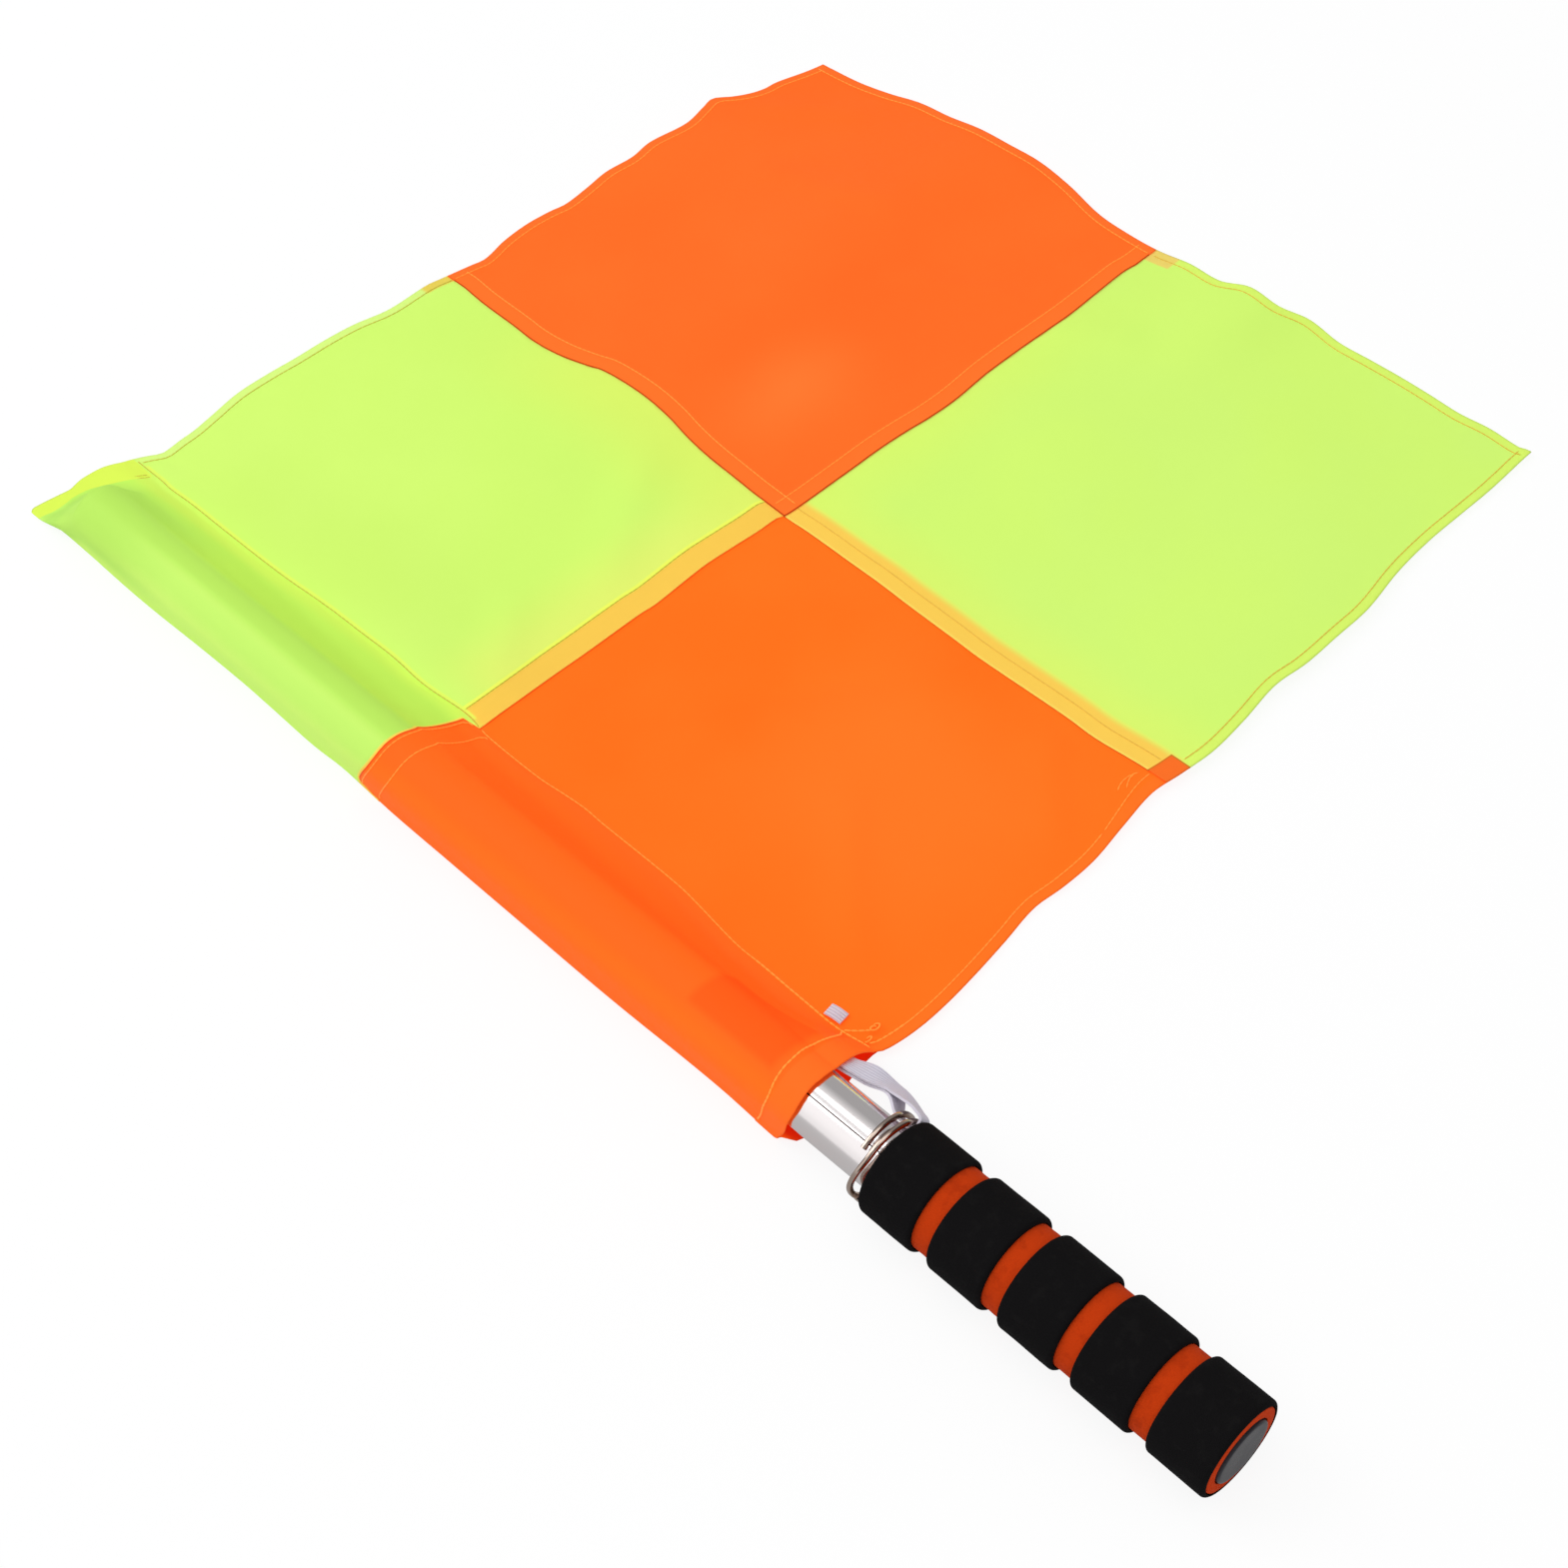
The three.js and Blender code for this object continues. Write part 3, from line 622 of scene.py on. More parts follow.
def swept(section: Sequence[tuple[float, float]], frames: Sequence[Matrix]) -> bmesh.types.BMesh:
    """Carries a closed section along a row of frames.

    Args:
        section: The section's corners in each frame's X and Y, in metres.
        frames: Where the section stands, from first to last.

    Returns:
        The closed mesh, with its own map across and along.
    """
    bm = bmesh.new()
    along = bm.verts.layers.float.new("along")
    across = bm.verts.layers.float.new("across")
    verts = [bm.verts.new(frames[0] @ Vector((x, y, 0))) for x, y in section]
    ring = [bm.edges.new((verts[i], verts[(i + 1) % len(verts)])) for i in range(len(verts))]
    bm.faces.new(verts)
    for vert, (x, _) in zip(verts, section):
        vert[across] = x
    length = 0.0
    for before, after in zip(frames, frames[1:]):
        length += (after.translation - before.translation).length
        made = bmesh.ops.extrude_edge_only(bm, edges=ring)["geom"]
        moved = [g for g in made if isinstance(g, bmesh.types.BMVert)]
        ring = [g for g in made if isinstance(g, bmesh.types.BMEdge)]
        bmesh.ops.transform(bm, matrix=after @ before.inverted(), verts=moved)
        for vert in moved:
            vert[along] = length
    bmesh.ops.holes_fill(bm, edges=ring, sides=0)
    bmesh.ops.recalc_face_normals(bm, faces=bm.faces[:])
    mapped(bm, across, along)
    return bm


@dataclass
class Pole:
    """The rolled steel tube and the plugs in its ends."""

    diameter: float = 19.7
    wall: float = 0.6
    start: float = 1.6
    end: float = 481.6
    rim_soft: float = 0.12
    seam_angle: float = 111.7
    seam_gap: float = 0.12
    segments: int = 176
    clearance: float = 0.3
    cap_diameter: float = 19.4
    cap_seat: float = 1.6
    proud: float = 0.8
    edge: float = 0.9
    edge_share: float = 0.6
    dish: tuple[tuple[float, float], ...] = ((0.0, 0.12), (0.5, 0.08), (0.78, 0.02))
    dome_seat: float = 2.0
    dome_rim: float = 1.2
    dome_height: float = 3.0
    stem_length: float = 14.0
    stem_wall: float = 1.8
    ribs: int = 3
    rib_height: float = 0.45
    rib_half: float = 0.6
    plug_segments: int = 96
    finish: Metal = Metal("polished steel", srgb(246, 240, 240), 0.12, 0.05, (1.927, 1.972))
    plug_finish: Plastic = Plastic("plug plastic", srgb(46, 46, 51), 0.22)

    def build(self) -> list[bpy.types.Object]:
        """Builds the tube and both plugs."""
        return [self.tube(), self.plug("butt_cap", self.cap_profile(), "butt_plug"),
                self.plug("tip_cap", self.dome_profile(), "tip_plug")]

    def tube(self) -> bpy.types.Object:
        """Builds the tube: its wall's section spun from one side of the seam to the other.

        Returns:
            The object.
        """
        outer = self.diameter / 2
        inner = outer - self.wall
        slit = self.seam_gap / outer
        soft = self.rim_soft
        corners = [(inner, self.start), (outer - soft, self.start), (outer, self.start + soft),
                   (outer, self.end - soft), (outer - soft, self.end), (inner, self.end)]
        bm = bmesh.new()
        verts = [bm.verts.new(row((radius, place, AXIS_HEIGHT))) for radius, place in corners]
        bm.faces.new(verts)
        centre = row((0, 0, AXIS_HEIGHT))
        first = Matrix.Rotation(-math.radians(self.seam_angle) - slit / 2, 4, "Y")
        bmesh.ops.transform(bm, matrix=Matrix.Translation(centre) @ first @ Matrix.Translation(-centre), verts=verts)
        bmesh.ops.spin(bm, geom=bm.verts[:] + bm.edges[:] + bm.faces[:], cent=centre, axis=(0, 1, 0),
                       angle=-(2 * math.pi - slit), steps=self.segments)
        bmesh.ops.holes_fill(bm, edges=bm.edges[:], sides=0)
        bmesh.ops.recalc_face_normals(bm, faces=bm.faces[:])
        tube = new_object("steel_tube", bm, self.finish.material(), sharp=25)
        return placed(tube, "pole", "polished_steel", "pole_tube")

    def plug(self, name: str, profile: Sequence[tuple[float, float]], node: str) -> bpy.types.Object:
        """Builds a plug of its profile, in place of its CAD node."""
        made = new_object(name, turned(profile, self.plug_segments), self.plug_finish.material(), sharp=35)
        return placed(made, "pole", "plug_plastic", node)

    def stem(self, root: float, direction: int) -> list[tuple[float, float]]:
        """Gives a plug's ribbed hollow stem.

        Args:
            root: Its place at the plug's flange.
            direction: 1 where it points to the tip and -1 where it points to the butt.

        Returns:
            The profile from the root to the open end and back, as (radius, place along the pole).
        """
        radius = self.diameter / 2 - self.wall - self.clearance - self.rib_height
        bore = radius - self.stem_wall
        points = []
        for count in range(1, self.ribs + 1):
            middle = root + direction * count * self.stem_length / (self.ribs + 1)
            points += [(radius, middle - direction * self.rib_half), (radius + self.rib_height, middle),
                       (radius, middle + direction * self.rib_half)]
        end = root + direction * self.stem_length
        return points + [(radius, end), (bore, end), (bore, root), (0.0, root)]

    def cap_profile(self) -> list[tuple[float, float]]:
        """Gives the plug in the butt, with a softly rounded face that stands a little proud.

        Returns:
            The profile as (radius, place along the pole).
        """
        flange = self.cap_diameter / 2
        root = self.start - self.clearance
        face = -self.proud
        dish = [(flange * share, face + depth) for share, depth in self.dish]
        rounding = [(flange - self.edge * (1 - math.sin(a)), face + self.edge * self.edge_share * (1 - math.cos(a)))
                    for a in quarter_turn(15)]
        return dish + rounding + [(flange, root), (flange - self.cap_seat, root)] + self.stem(root, 1)

    def dome_profile(self) -> list[tuple[float, float]]:
        """Gives the domed plug in the tip, under the cloth.

        Returns:
            The profile as (radius, place along the pole).
        """
        flange = self.diameter / 2
        root = self.end + self.clearance
        rim = root + self.dome_rim
        dome = [(flange * math.sin(a), rim + self.dome_height * math.cos(a)) for a in quarter_turn(9)]
        return dome + [(flange, root), (flange - self.dome_seat, root)] + self.stem(root, -1)


@dataclass
class Grip:
    """The foam grip: an orange core and five black bands on it."""

    length: float = 117.0
    diameter: float = 30.0
    core_diameter: float = 26.6
    core_soft: float = 0.4
    core_steps: int = 60
    core_dent: float = 0.12
    core_wave: float = 0.35
    bore: float = 20.3
    band_length: float = 18.6
    bands: int = 5
    rounding: float = 1.25
    band_steps: int = 8
    skin: float = 0.6
    dent: float = 0.09
    dent_scale: float = 130.0
    dent_shift: float = 7.0
    clearance: float = 0.3
    segments: int = 112
    black: Foam = Foam("black foam", srgb(19, 18, 19), srgb(26, 25, 25))
    orange: Foam = Foam("orange foam", srgb(206, 62, 12), srgb(180, 50, 9), 0.78)

    def build(self) -> list[bpy.types.Object]:
        """Builds the core and the bands."""
        black = self.black.material()
        return [self.core()] + [self.band(number, black) for number in range(self.bands)]

    def core(self) -> bpy.types.Object:
        """Builds the core, soft at its ends' edges and a little uneven along it.

        Returns:
            The object.
        """
        bore, radius, soft = self.bore / 2, self.core_diameter / 2, self.core_soft
        cut = soft * CUT_SHARE
        places = [lerp(soft, self.length - soft, share) for share in shares(self.core_steps, 1)[:-1]]
        profile = [(bore, 0.0), (radius - soft, 0.0), (radius - cut, cut), (radius, soft)]
        profile += [(radius - self.core_dent * noise.noise(Vector((0, place * self.core_wave, 3.1))), place)
                    for place in places]
        profile += [(radius, self.length - soft), (radius - soft, self.length), (bore, self.length)]
        core = new_object("foam_core", turned(profile, self.segments), self.orange.material(), sharp=50)
        placed(core, "pole", "orange_foam", "grip_core")
        return core

    def band(self, number: int, material: bpy.types.Material) -> bpy.types.Object:
        """Builds one band: a rounded ring whose skin is a little uneven, as foam is.

        Args:
            number: Its number from the butt, from 0.
            material: The bands' finish.

        Returns:
            The object.
        """
        start = number * (self.length - self.band_length) / (self.bands - 1)
        end = start + self.band_length
        inner, outer = self.core_diameter / 2 + self.clearance, self.diameter / 2
        rounding = self.rounding
        middle = [lerp(start + rounding, end - rounding, share) for share in shares(self.band_steps, 1)[:-1]]
        profile = [(inner, start)]
        profile += [(outer - rounding * (1 - math.sin(a)), start + rounding * (1 - math.cos(a)))
                    for a in quarter_turn(15)]
        profile += [(outer, place) for place in middle]
        profile += [(outer - rounding * (1 - math.cos(a)), end - rounding * (1 - math.sin(a)))
                    for a in quarter_turn(15)]
        profile += [(inner, end)]
        bm = turned(profile, self.segments)
        centre = row((0, 0, AXIS_HEIGHT))
        for vert in bm.verts:
            out = vert.co - centre
            out.y = 0.0
            if out.length > (inner + self.skin) * MM:
                dent = noise.noise(Vector(vert.co) * self.dent_scale + Vector((number * self.dent_shift, 0, 0)))
                vert.co -= out.normalized() * (self.dent + self.dent * dent) * MM
        band = new_object(f"foam_band_{number + 1}", bm, material, sharp=60)
        placed(band, "pole", "black_foam", f"grip_band_{number + 1}")
        return band


@dataclass
class SplitRing:
    """The ring of flat wire that goes round the pole twice."""

    diameter: float = 27.4
    depth: float = 1.7
    width: float = 1.5
    rounding: float = 0.35
    place: float = 119.4
    gap: float = 0.5
    spread: float = 1.3
    spread_angle: float = 35.0
    jog_angle: float = 70.0
    jog_place: float = 190.0
    steps: int = 300
    finish: Metal = Metal("nickel wire", srgb(188, 170, 158), 0.14, 0.06)

    def along(self, angle: float) -> float:
        """Gives the wire's place along the pole after it has turned by an angle, in radians.

        Args:
            angle: The angle that the wire has turned by.

        Returns:
            The place along the pole.
        """
        jog = math.radians(self.jog_angle)
        level = smooth((angle - (2 * math.pi - jog)) / jog)
        towards = (1 + math.cos(angle + math.radians(self.jog_place - self.spread_angle))) / 2
        return self.place + (self.width + self.gap) * level + self.spread * level * towards

    def section(self) -> list[tuple[float, float]]:
        """Gives the wire's section with its corners cut, in metres.

        Returns:
            The section's corners.
        """
        half, wide, cut = self.depth / 2, self.width / 2, self.rounding
        near = cut * CUT_SHARE
        corners = [(half, wide - cut), (half - near, wide - near), (half - cut, wide), (cut - half, wide),
                   (-half, wide - cut), (-half, cut - wide), (cut - half, -wide), (half - cut, -wide),
                   (half - near, near - wide), (half, cut - wide)]
        return [(x * MM, y * MM) for x, y in corners]

    def build(self) -> list[bpy.types.Object]:
        """Builds the wire as one sweep of two turns.

        Returns:
            The ring as a list of one.
        """
        end = 4 * math.pi - math.radians(self.jog_angle)
        middle = (self.diameter - self.depth) / 2
        side = Vector((0, 1, 0))
        frames = []
        for step in range(self.steps + 1):
            turn = end * step / self.steps
            angle = turn + math.radians(self.jog_place)
            out = Vector((math.cos(angle), 0, math.sin(angle)))
            frame = Matrix((out, side, out.cross(side))).transposed().to_4x4()
            frame.translation = row((middle * out.x, self.along(turn), AXIS_HEIGHT + middle * out.z))
            frames.append(frame)
        ring = new_object("ring_wire", swept(self.section(), frames), self.finish.material(), sharp=40)
        return [placed(ring, "ring", "nickel_wire", "split_ring")]


@dataclass(frozen=True)
class Profile:
    """A smooth curve through knots of (place, value)."""

    knots: tuple[tuple[float, float], ...]

    def slope(self, index: int) -> float:
        """Gives the curve's slope at a knot.

        Args:
            index: The knot's number.

        Returns:
            The slope.
        """
        before = self.knots[max(index - 1, 0)]
        after = self.knots[min(index + 1, len(self.knots) - 1)]
        return (after[1] - before[1]) / (after[0] - before[0])

    def at(self, place: float) -> float:
        """Gives the curve's value at a place, level past its ends.

        Args:
            place: The place.

        Returns:
            The value.
        """
        knots = self.knots
        if place <= knots[0][0]:
            return knots[0][1]
        if place >= knots[-1][0]:
            return knots[-1][1]
        index = bisect_right(knots, (place, math.inf)) - 1
        (start, low), (end, high) = knots[index], knots[index + 1]
        span = end - start
        share = (place - start) / span
        square, cube = share * share, share ** 3
        return ((2 * cube - 3 * square + 1) * low + (cube - 2 * square + share) * span * self.slope(index)
                + (3 * square - 2 * cube) * high + (cube - square) * span * self.slope(index + 1))


@dataclass(frozen=True)
class Swell:
    """A soft rise of the lying cloth, by shares across and along it."""

    across: float
    along: float
    across_reach: float
    along_reach: float
    height: float

    def at(self, across: float, along: float) -> float:
        """Gives the rise's height at a place.

        Args:
            across: The place across the cloth, as a share.
            along: The place along it, as a share.

        Returns:
            The height.
        """
        a = (across - self.across) / self.across_reach
        b = (along - self.along) / self.along_reach
        return self.height * math.exp(-a * a - b * b)


@dataclass(frozen=True)
class Crease:
    """A soft ridge, or a valley where its height is below 0, between two places on the floor's plane."""

    start: tuple[float, float]
    end: tuple[float, float]
    width: float
    height: float

    def at(self, x: float, y: float) -> float:
        """Gives the crease's height at a place.

        Args:
            x: The place across the pole.
            y: The place along it.

        Returns:
            The height.
        """
        dx, dy = self.end[0] - self.start[0], self.end[1] - self.start[1]
        length = math.hypot(dx, dy)
        along = ((x - self.start[0]) * dx + (y - self.start[1]) * dy) / length
        aside = ((x - self.start[0]) * dy - (y - self.start[1]) * dx) / length
        taper = smooth(along / (0.3 * length)) * smooth((length - along) / (0.3 * length))
        return self.height * taper * math.exp(-(aside / self.width) ** 2)


TIP_EDGE = Profile((
    (-11.3, 516), (-9.6, 517.8), (-6.8, 517.6), (-3.1, 517), (0.7, 516.4), (4.5, 515.9), (6.6, 516.5), (9.8, 517.4),
    (13.9, 517.2), (17.5, 516.2), (20, 514.9), (23.7, 513), (26.8, 512.5), (30.6, 510.6), (33.6, 508.7), (37, 506.4),
    (40.4, 506.3), (45.3, 506.9), (51.2, 507.2), (59, 508.6), (73, 511.2), (86, 511.2), (98, 510.4), (110.5, 510),
    (122.5, 508.7), (136, 505.5), (154, 505.4), (160, 504.1), (172, 501.6), (178, 500.4), (190, 503), (202, 503.9),
    (213, 503), (220, 501.7), (232, 502.8), (244, 504.5), (257, 503.6), (268, 505.2), (286, 503.1), (298, 505.6),
    (304, 506.7), (310, 501.7), (316, 497.9), (322, 495.7), (328, 495.1), (340, 491.4), (346, 489.9), (350, 489.2)))
FLY_EDGE = Profile((
    (157.9, 350.5), (160.5, 349.6), (173, 350.6), (185, 350), (198, 351), (211, 351.7), (224, 351.9), (237, 352),
    (252.4, 354.9), (264.6, 353.5), (279, 355), (289, 350.6), (303, 350.8), (316, 349), (330, 349), (346, 350.6),
    (365.6, 356.2), (383.6, 359.7), (399, 360), (414.5, 359.9), (428, 357.9), (443, 356.8), (456, 353.3),
    (470, 350.8), (486, 350)))
BUTT_EDGE = Profile((
    (27.5, 152.8), (29, 152.3), (32, 150.4), (43, 148.6), (55, 148.4), (69, 149.3), (83.4, 150.8), (98.5, 152.6),
    (110.5, 151.4), (124, 151.2), (140, 153.3), (156, 155.1), (168, 153.4), (181, 152), (196, 152.8), (213.6, 154.7),
    (227, 153.2), (242, 153.1),
    (257.5, 153.1), (277, 155.9), (294, 156.8), (310, 156.4), (326, 155.9), (343.6, 156.3)))
CROSS_SEAM = Profile((
    (38, 326.8), (50, 326.5), (62, 326.2), (74, 325.7), (98, 325.2), (104, 324.6), (116, 325), (128, 325.3),
    (140, 324.4), (151, 323.4), (160, 323), (162.4, 321.8), (170, 321.2), (182, 320.9), (194, 320.6), (206, 320.4),
    (218, 319.6), (230, 318.2), (242, 317.7), (254, 318.4), (260, 318.7), (278, 318.4), (290, 317.9), (302, 317.4),
    (314, 317.8), (332, 318.3), (338, 317.5)))
MID_SEAM = Profile((
    (164, 158.7), (170, 158.3), (182, 157.5), (194, 158), (230, 158), (242, 158.6), (254, 159.1), (266, 159.7),
    (278, 160.4), (290, 160.7), (302, 161.1), (312, 161.3), (320, 161.2), (330, 161.7), (338, 162.1), (346, 162.8),
    (362, 164.1), (374, 165.9), (386, 168.5), (398, 170.1), (410, 170.4), (422, 169.5), (428, 167.5), (440, 164.5),
    (452, 163.4), (464, 164.1), (482, 164.8), (494, 166)))
STITCH_LINE = Profile((
    (154.7, 27.9), (165.1, 26.4), (180.5, 26.6), (197.5, 27.1), (205.8, 27.1), (215.3, 28.1), (225.1, 29.4),
    (234.9, 30.4), (252.8, 30.7), (270.8, 30.8), (278, 31.1), (288.7, 30.3), (297.2, 29.5), (322.7, 29.7),
    (333.8, 31.3), (354, 30), (370.9, 30.9), (387.5, 30.6), (401.6, 30.4), (412.2, 29.9), (423.2, 29.2),
    (439.1, 28.8), (461.4, 28.7), (478.6, 28.7), (489.5, 28.2), (494.2, 28.6)))
FOLD_EDGE = Profile((
    (156, -11), (172, -10.4), (188, -10.5), (204, -10.9), (220, -11.1), (252, -10.9), (284, -10.7), (308, -10.5),
    (332, -9.5), (348, -10), (372, -9.4), (388, -9.1), (412, -9.3), (436, -9.8), (452, -9.8), (476, -9.2),
    (492, -8.9), (500, -9.3), (508, -10.6), (516, -11.5)))
TIP_BAND = Profile((
    (-11, 513.2), (-8.5, 512.4), (-6, 511.5), (-2, 510.9), (3.2, 511.2), (8.2, 509.9), (12, 507.3), (15.1, 504.4),
    (18.9, 500.6), (22.6, 497.1), (27.3, 494.8)))
MOUTH_STITCH = Profile((
    (0, 10.8), (0.04, 10.6), (0.08, 10.1), (0.12, 9.7), (0.16, 9.1), (0.2, 9.1), (0.24, 9.6), (0.28, 9.9),
    (0.32, 10), (0.36, 9.8), (0.4, 9.6), (0.48, 9.3), (0.52, 8.9), (0.56, 8.5), (0.64, 8.4), (0.72, 7.9)))
MOUTH_SHIFT = Profile((
    (0.5, 0.8), (2.3, 0.2), (5.6, -1.6), (10, -3.5), (16.3, -5.2), (21.1, -6.4), (23.9, -6.5), (25.6, -6.4)))
SEAM_LEAN = Profile((
    (0, 6.8), (5, 7.4), (10, 7.8), (14, 7.7), (20, 7.1), (28, 6.3), (34, 5.2), (40, 3.9), (52, 2.8), (66, 2.5),
    (80, 2.7), (95, 3), (109, 3.3), (123, 3.6), (137, 4.1), (152, 5.1), (166, 6.5), (180, 8.3), (200, 11.1),
    (220, 13.9), (240, 15)))
STITCH_LIFT = Profile(((0, 1.4), (43, 3.6), (179, 6.4), (322, 8), (358, 2.8)))


@dataclass
class FlagShape:
    """Where the cloth lies: u runs from the sleeve's stitch line to the fly edge, and v from the butt to the tip."""

    hoist: float = 133.0
    fly: float = 187.0
    butt: float = 174.0
    tip: float = 184.0
    stitch_place: float = 29.0
    base: float = 0.75
    photo_plane: float = 2.1
    eye: tuple[float, float, float] = (-243.62, -132.27, 608.10)
    clear: float = 30.0
    wave: float = 0.7
    wave_length: float = 55.0
    wave_bias: float = 0.4
    wave_seed: float = 7.0
    pucker: float = 0.42
    pucker_length: float = 5.5
    pucker_bias: float = 0.35
    pucker_seed: float = 2.0
    pucker_reach: float = 7.0
    wrap: float = 10.55
    drape: float = 15.0
    tent: float = 4.4
    tent_reach: float = 34.0
    ripple: float = 0.25
    ripple_turn: float = 9.0
    ripple_length: float = 19.0
    mouth_rise: float = 6.4
    mouth_power: float = 1.1
    mouth_dip: float = 6.5
    dip_lean: float = 0.5
    dip_power: float = 0.9
    over_stitch: float = 1.0
    stitch_reach: float = 0.5
    mouth_reach: float = 60.0
    fold_clear: float = 0.55
    fold_turn: float = 240.0
    curl: float = 1.3
    floor_gap: float = 0.28
    under_rise: float = 0.55
    under_drop: float = 1.0
    under_end: tuple[float, float] = (2.5, -1.6)
    pole_end: float = 484.5
    tip_skew: float = 1.07
    skew_from: float = 1.0
    skew_power: int = 4
    closing_power: float = 1.25
    rim_power: int = 10
    pressed: tuple[float, float] = (0.25, 1.4)
    ridge_length: float = 36.0
    drape_steps: int = 28
    wrap_steps: int = 40
    side_steps: int = 12
    curl_steps: int = 5
    under_steps: int = 24
    swells: tuple[Swell, ...] = (
        Swell(0.8, 0.74, 0.45, 0.1, 9.0), Swell(0.3, 0.93, 0.2, 0.12, 4.5), Swell(0.72, 0.98, 0.12, 0.1, 5.4),
        Swell(0.35, 0.25, 0.08, 0.2, 4.0), Swell(0.98, 0.36, 0.12, 0.06, 4.5), Swell(0.62, 0.05, 0.2, 0.1, 3.1))
    creases: tuple[Crease, ...] = (
        Crease((34, 322), (168, 222), 9, 1.7), Crease((102, 236), (34, 166), 7, 1.5),
        Crease((156, 200), (110, 158), 6, 1.2), Crease((272, 384), (300, 330), 6, 1.3),
        Crease((284, 474), (310, 396), 8, 1.4), Crease((306, 500), (346, 446), 7, 1.2),
        Crease((164, 388), (88, 336), 9, 1.6), Crease((82, 366), (38, 332), 7, 1.3),
        Crease((286, 326), (312, 286), 8, 1.3), Crease((60, 480), (130, 380), 14, 1.0),
        Crease((230, 300), (320, 190), 22, 1.3), Crease((190, 300), (210, 200), 16, -0.9))
    sections: dict[tuple[int, int], list[Vector]] = field(default_factory=dict)

    def place(self, u: float, v: float) -> tuple[float, float]:
        """Gives where a place on the cloth shows on the plane that the edges were measured on.

        Args:
            u: The place across the cloth.
            v: The place along it.

        Returns:
            The place across the pole and the place along it.
        """
        across = self.stitch_place + u
        if v <= self.butt:
            y = lerp(BUTT_EDGE.at(across), CROSS_SEAM.at(across), v / self.butt)
        else:
            y = lerp(CROSS_SEAM.at(across), TIP_EDGE.at(across), (v - self.butt) / self.tip)
        if u <= self.hoist:
            x = lerp(STITCH_LINE.at(y), MID_SEAM.at(y), u / self.hoist)
        else:
            x = lerp(MID_SEAM.at(y), FLY_EDGE.at(y), (u - self.hoist) / self.fly)
        return x, y

    def lift(self, u: float, v: float, x: float, y: float) -> float:
        """Gives the height of the cloth's middle over its lying level.

        Args:
            u: The place across the cloth.
            v: The place along it.
            x: Where that place shows on the measured plane, across the pole.
            y: Where it shows along the pole.

        Returns:
            The height, made of the stitch line's lift, swells, creases, waves and the puckers along seams and edges.
        """
        clear = smooth(u / self.clear)
        height = STITCH_LIFT.at(v) * math.exp(-(u / self.clear) ** 2)
        across, along = u / (self.hoist + self.fly), v / (self.butt + self.tip)
        height += sum(swell.at(across, along) for swell in self.swells) * clear
        height += sum(crease.at(x, y) for crease in self.creases) * clear
        wave = noise.noise(Vector((x, y, self.wave_seed)) / self.wave_length) + self.wave_bias
        height += self.wave * wave * clear
        edge = min(abs(u - self.hoist), abs(v - self.butt), v, self.butt + self.tip - v, self.hoist + self.fly - u)
        pucker = noise.noise(Vector((x / self.pucker_length, y / self.pucker_length, self.pucker_seed)))
        pucker += self.pucker_bias
        height += self.pucker * pucker * math.exp(-max(edge, 0) / self.pucker_reach)
        return max(height, 0.0)

    def panel(self, u: float, v: float, level: float) -> Vector:
        """Gives a point of the panels' cloth, on the photograph's ray through its place.

        Args:
            u: The place across the cloth.
            v: The place along it.
            level: The level in the pile of overlaps.

        Returns:
            The point.
        """
        x, y = self.place(u, v)
        z = self.base + level + self.lift(u, v, x, y)
        share = (self.eye[2] - z) / (self.eye[2] - self.photo_plane)
        return Vector((lerp(self.eye[0], x, share), lerp(self.eye[1], y, share), z))

    def touch(self, nose: Vector, radius: float, v: float) -> float:
        """Gives the angle in radians round the pole at which the draped cloth leaves it for the stitch line.

        Args:
            nose: The section's point on the stitch line.
            radius: The cloth's radius round the pole.
            v: The section's v.

        Returns:
            The angle.
        """
        distance = math.hypot(nose.x, nose.z - AXIS_HEIGHT)
        angle = math.atan2(nose.z - AXIS_HEIGHT, nose.x) + math.acos(radius / distance)
        return angle - math.radians(self.drape) * smooth(v / self.tent_reach)

    def section(self, v: float, level: float) -> list[Vector]:
        """Gives the sleeve's section at v, from the stitch line over the pole, down and back under it.

        Args:
            v: The section's v.
            level: The level in the pile of overlaps.

        Returns:
            The section's points in order. Each section is made once.
        """
        key = (round(v * 1000), round(level * 100))
        if key not in self.sections:
            nose = self.panel(0, v, level)
            fold = FOLD_EDGE.at(nose.y) + self.fold_clear
            flat = self.over(nose, self.wrap + level, v) + self.under(nose, self.wrap + level, fold, level)
            self.sections[key] = [self.lie(point, turn, nose, v, fold) for point, turn in flat]
        return self.sections[key]

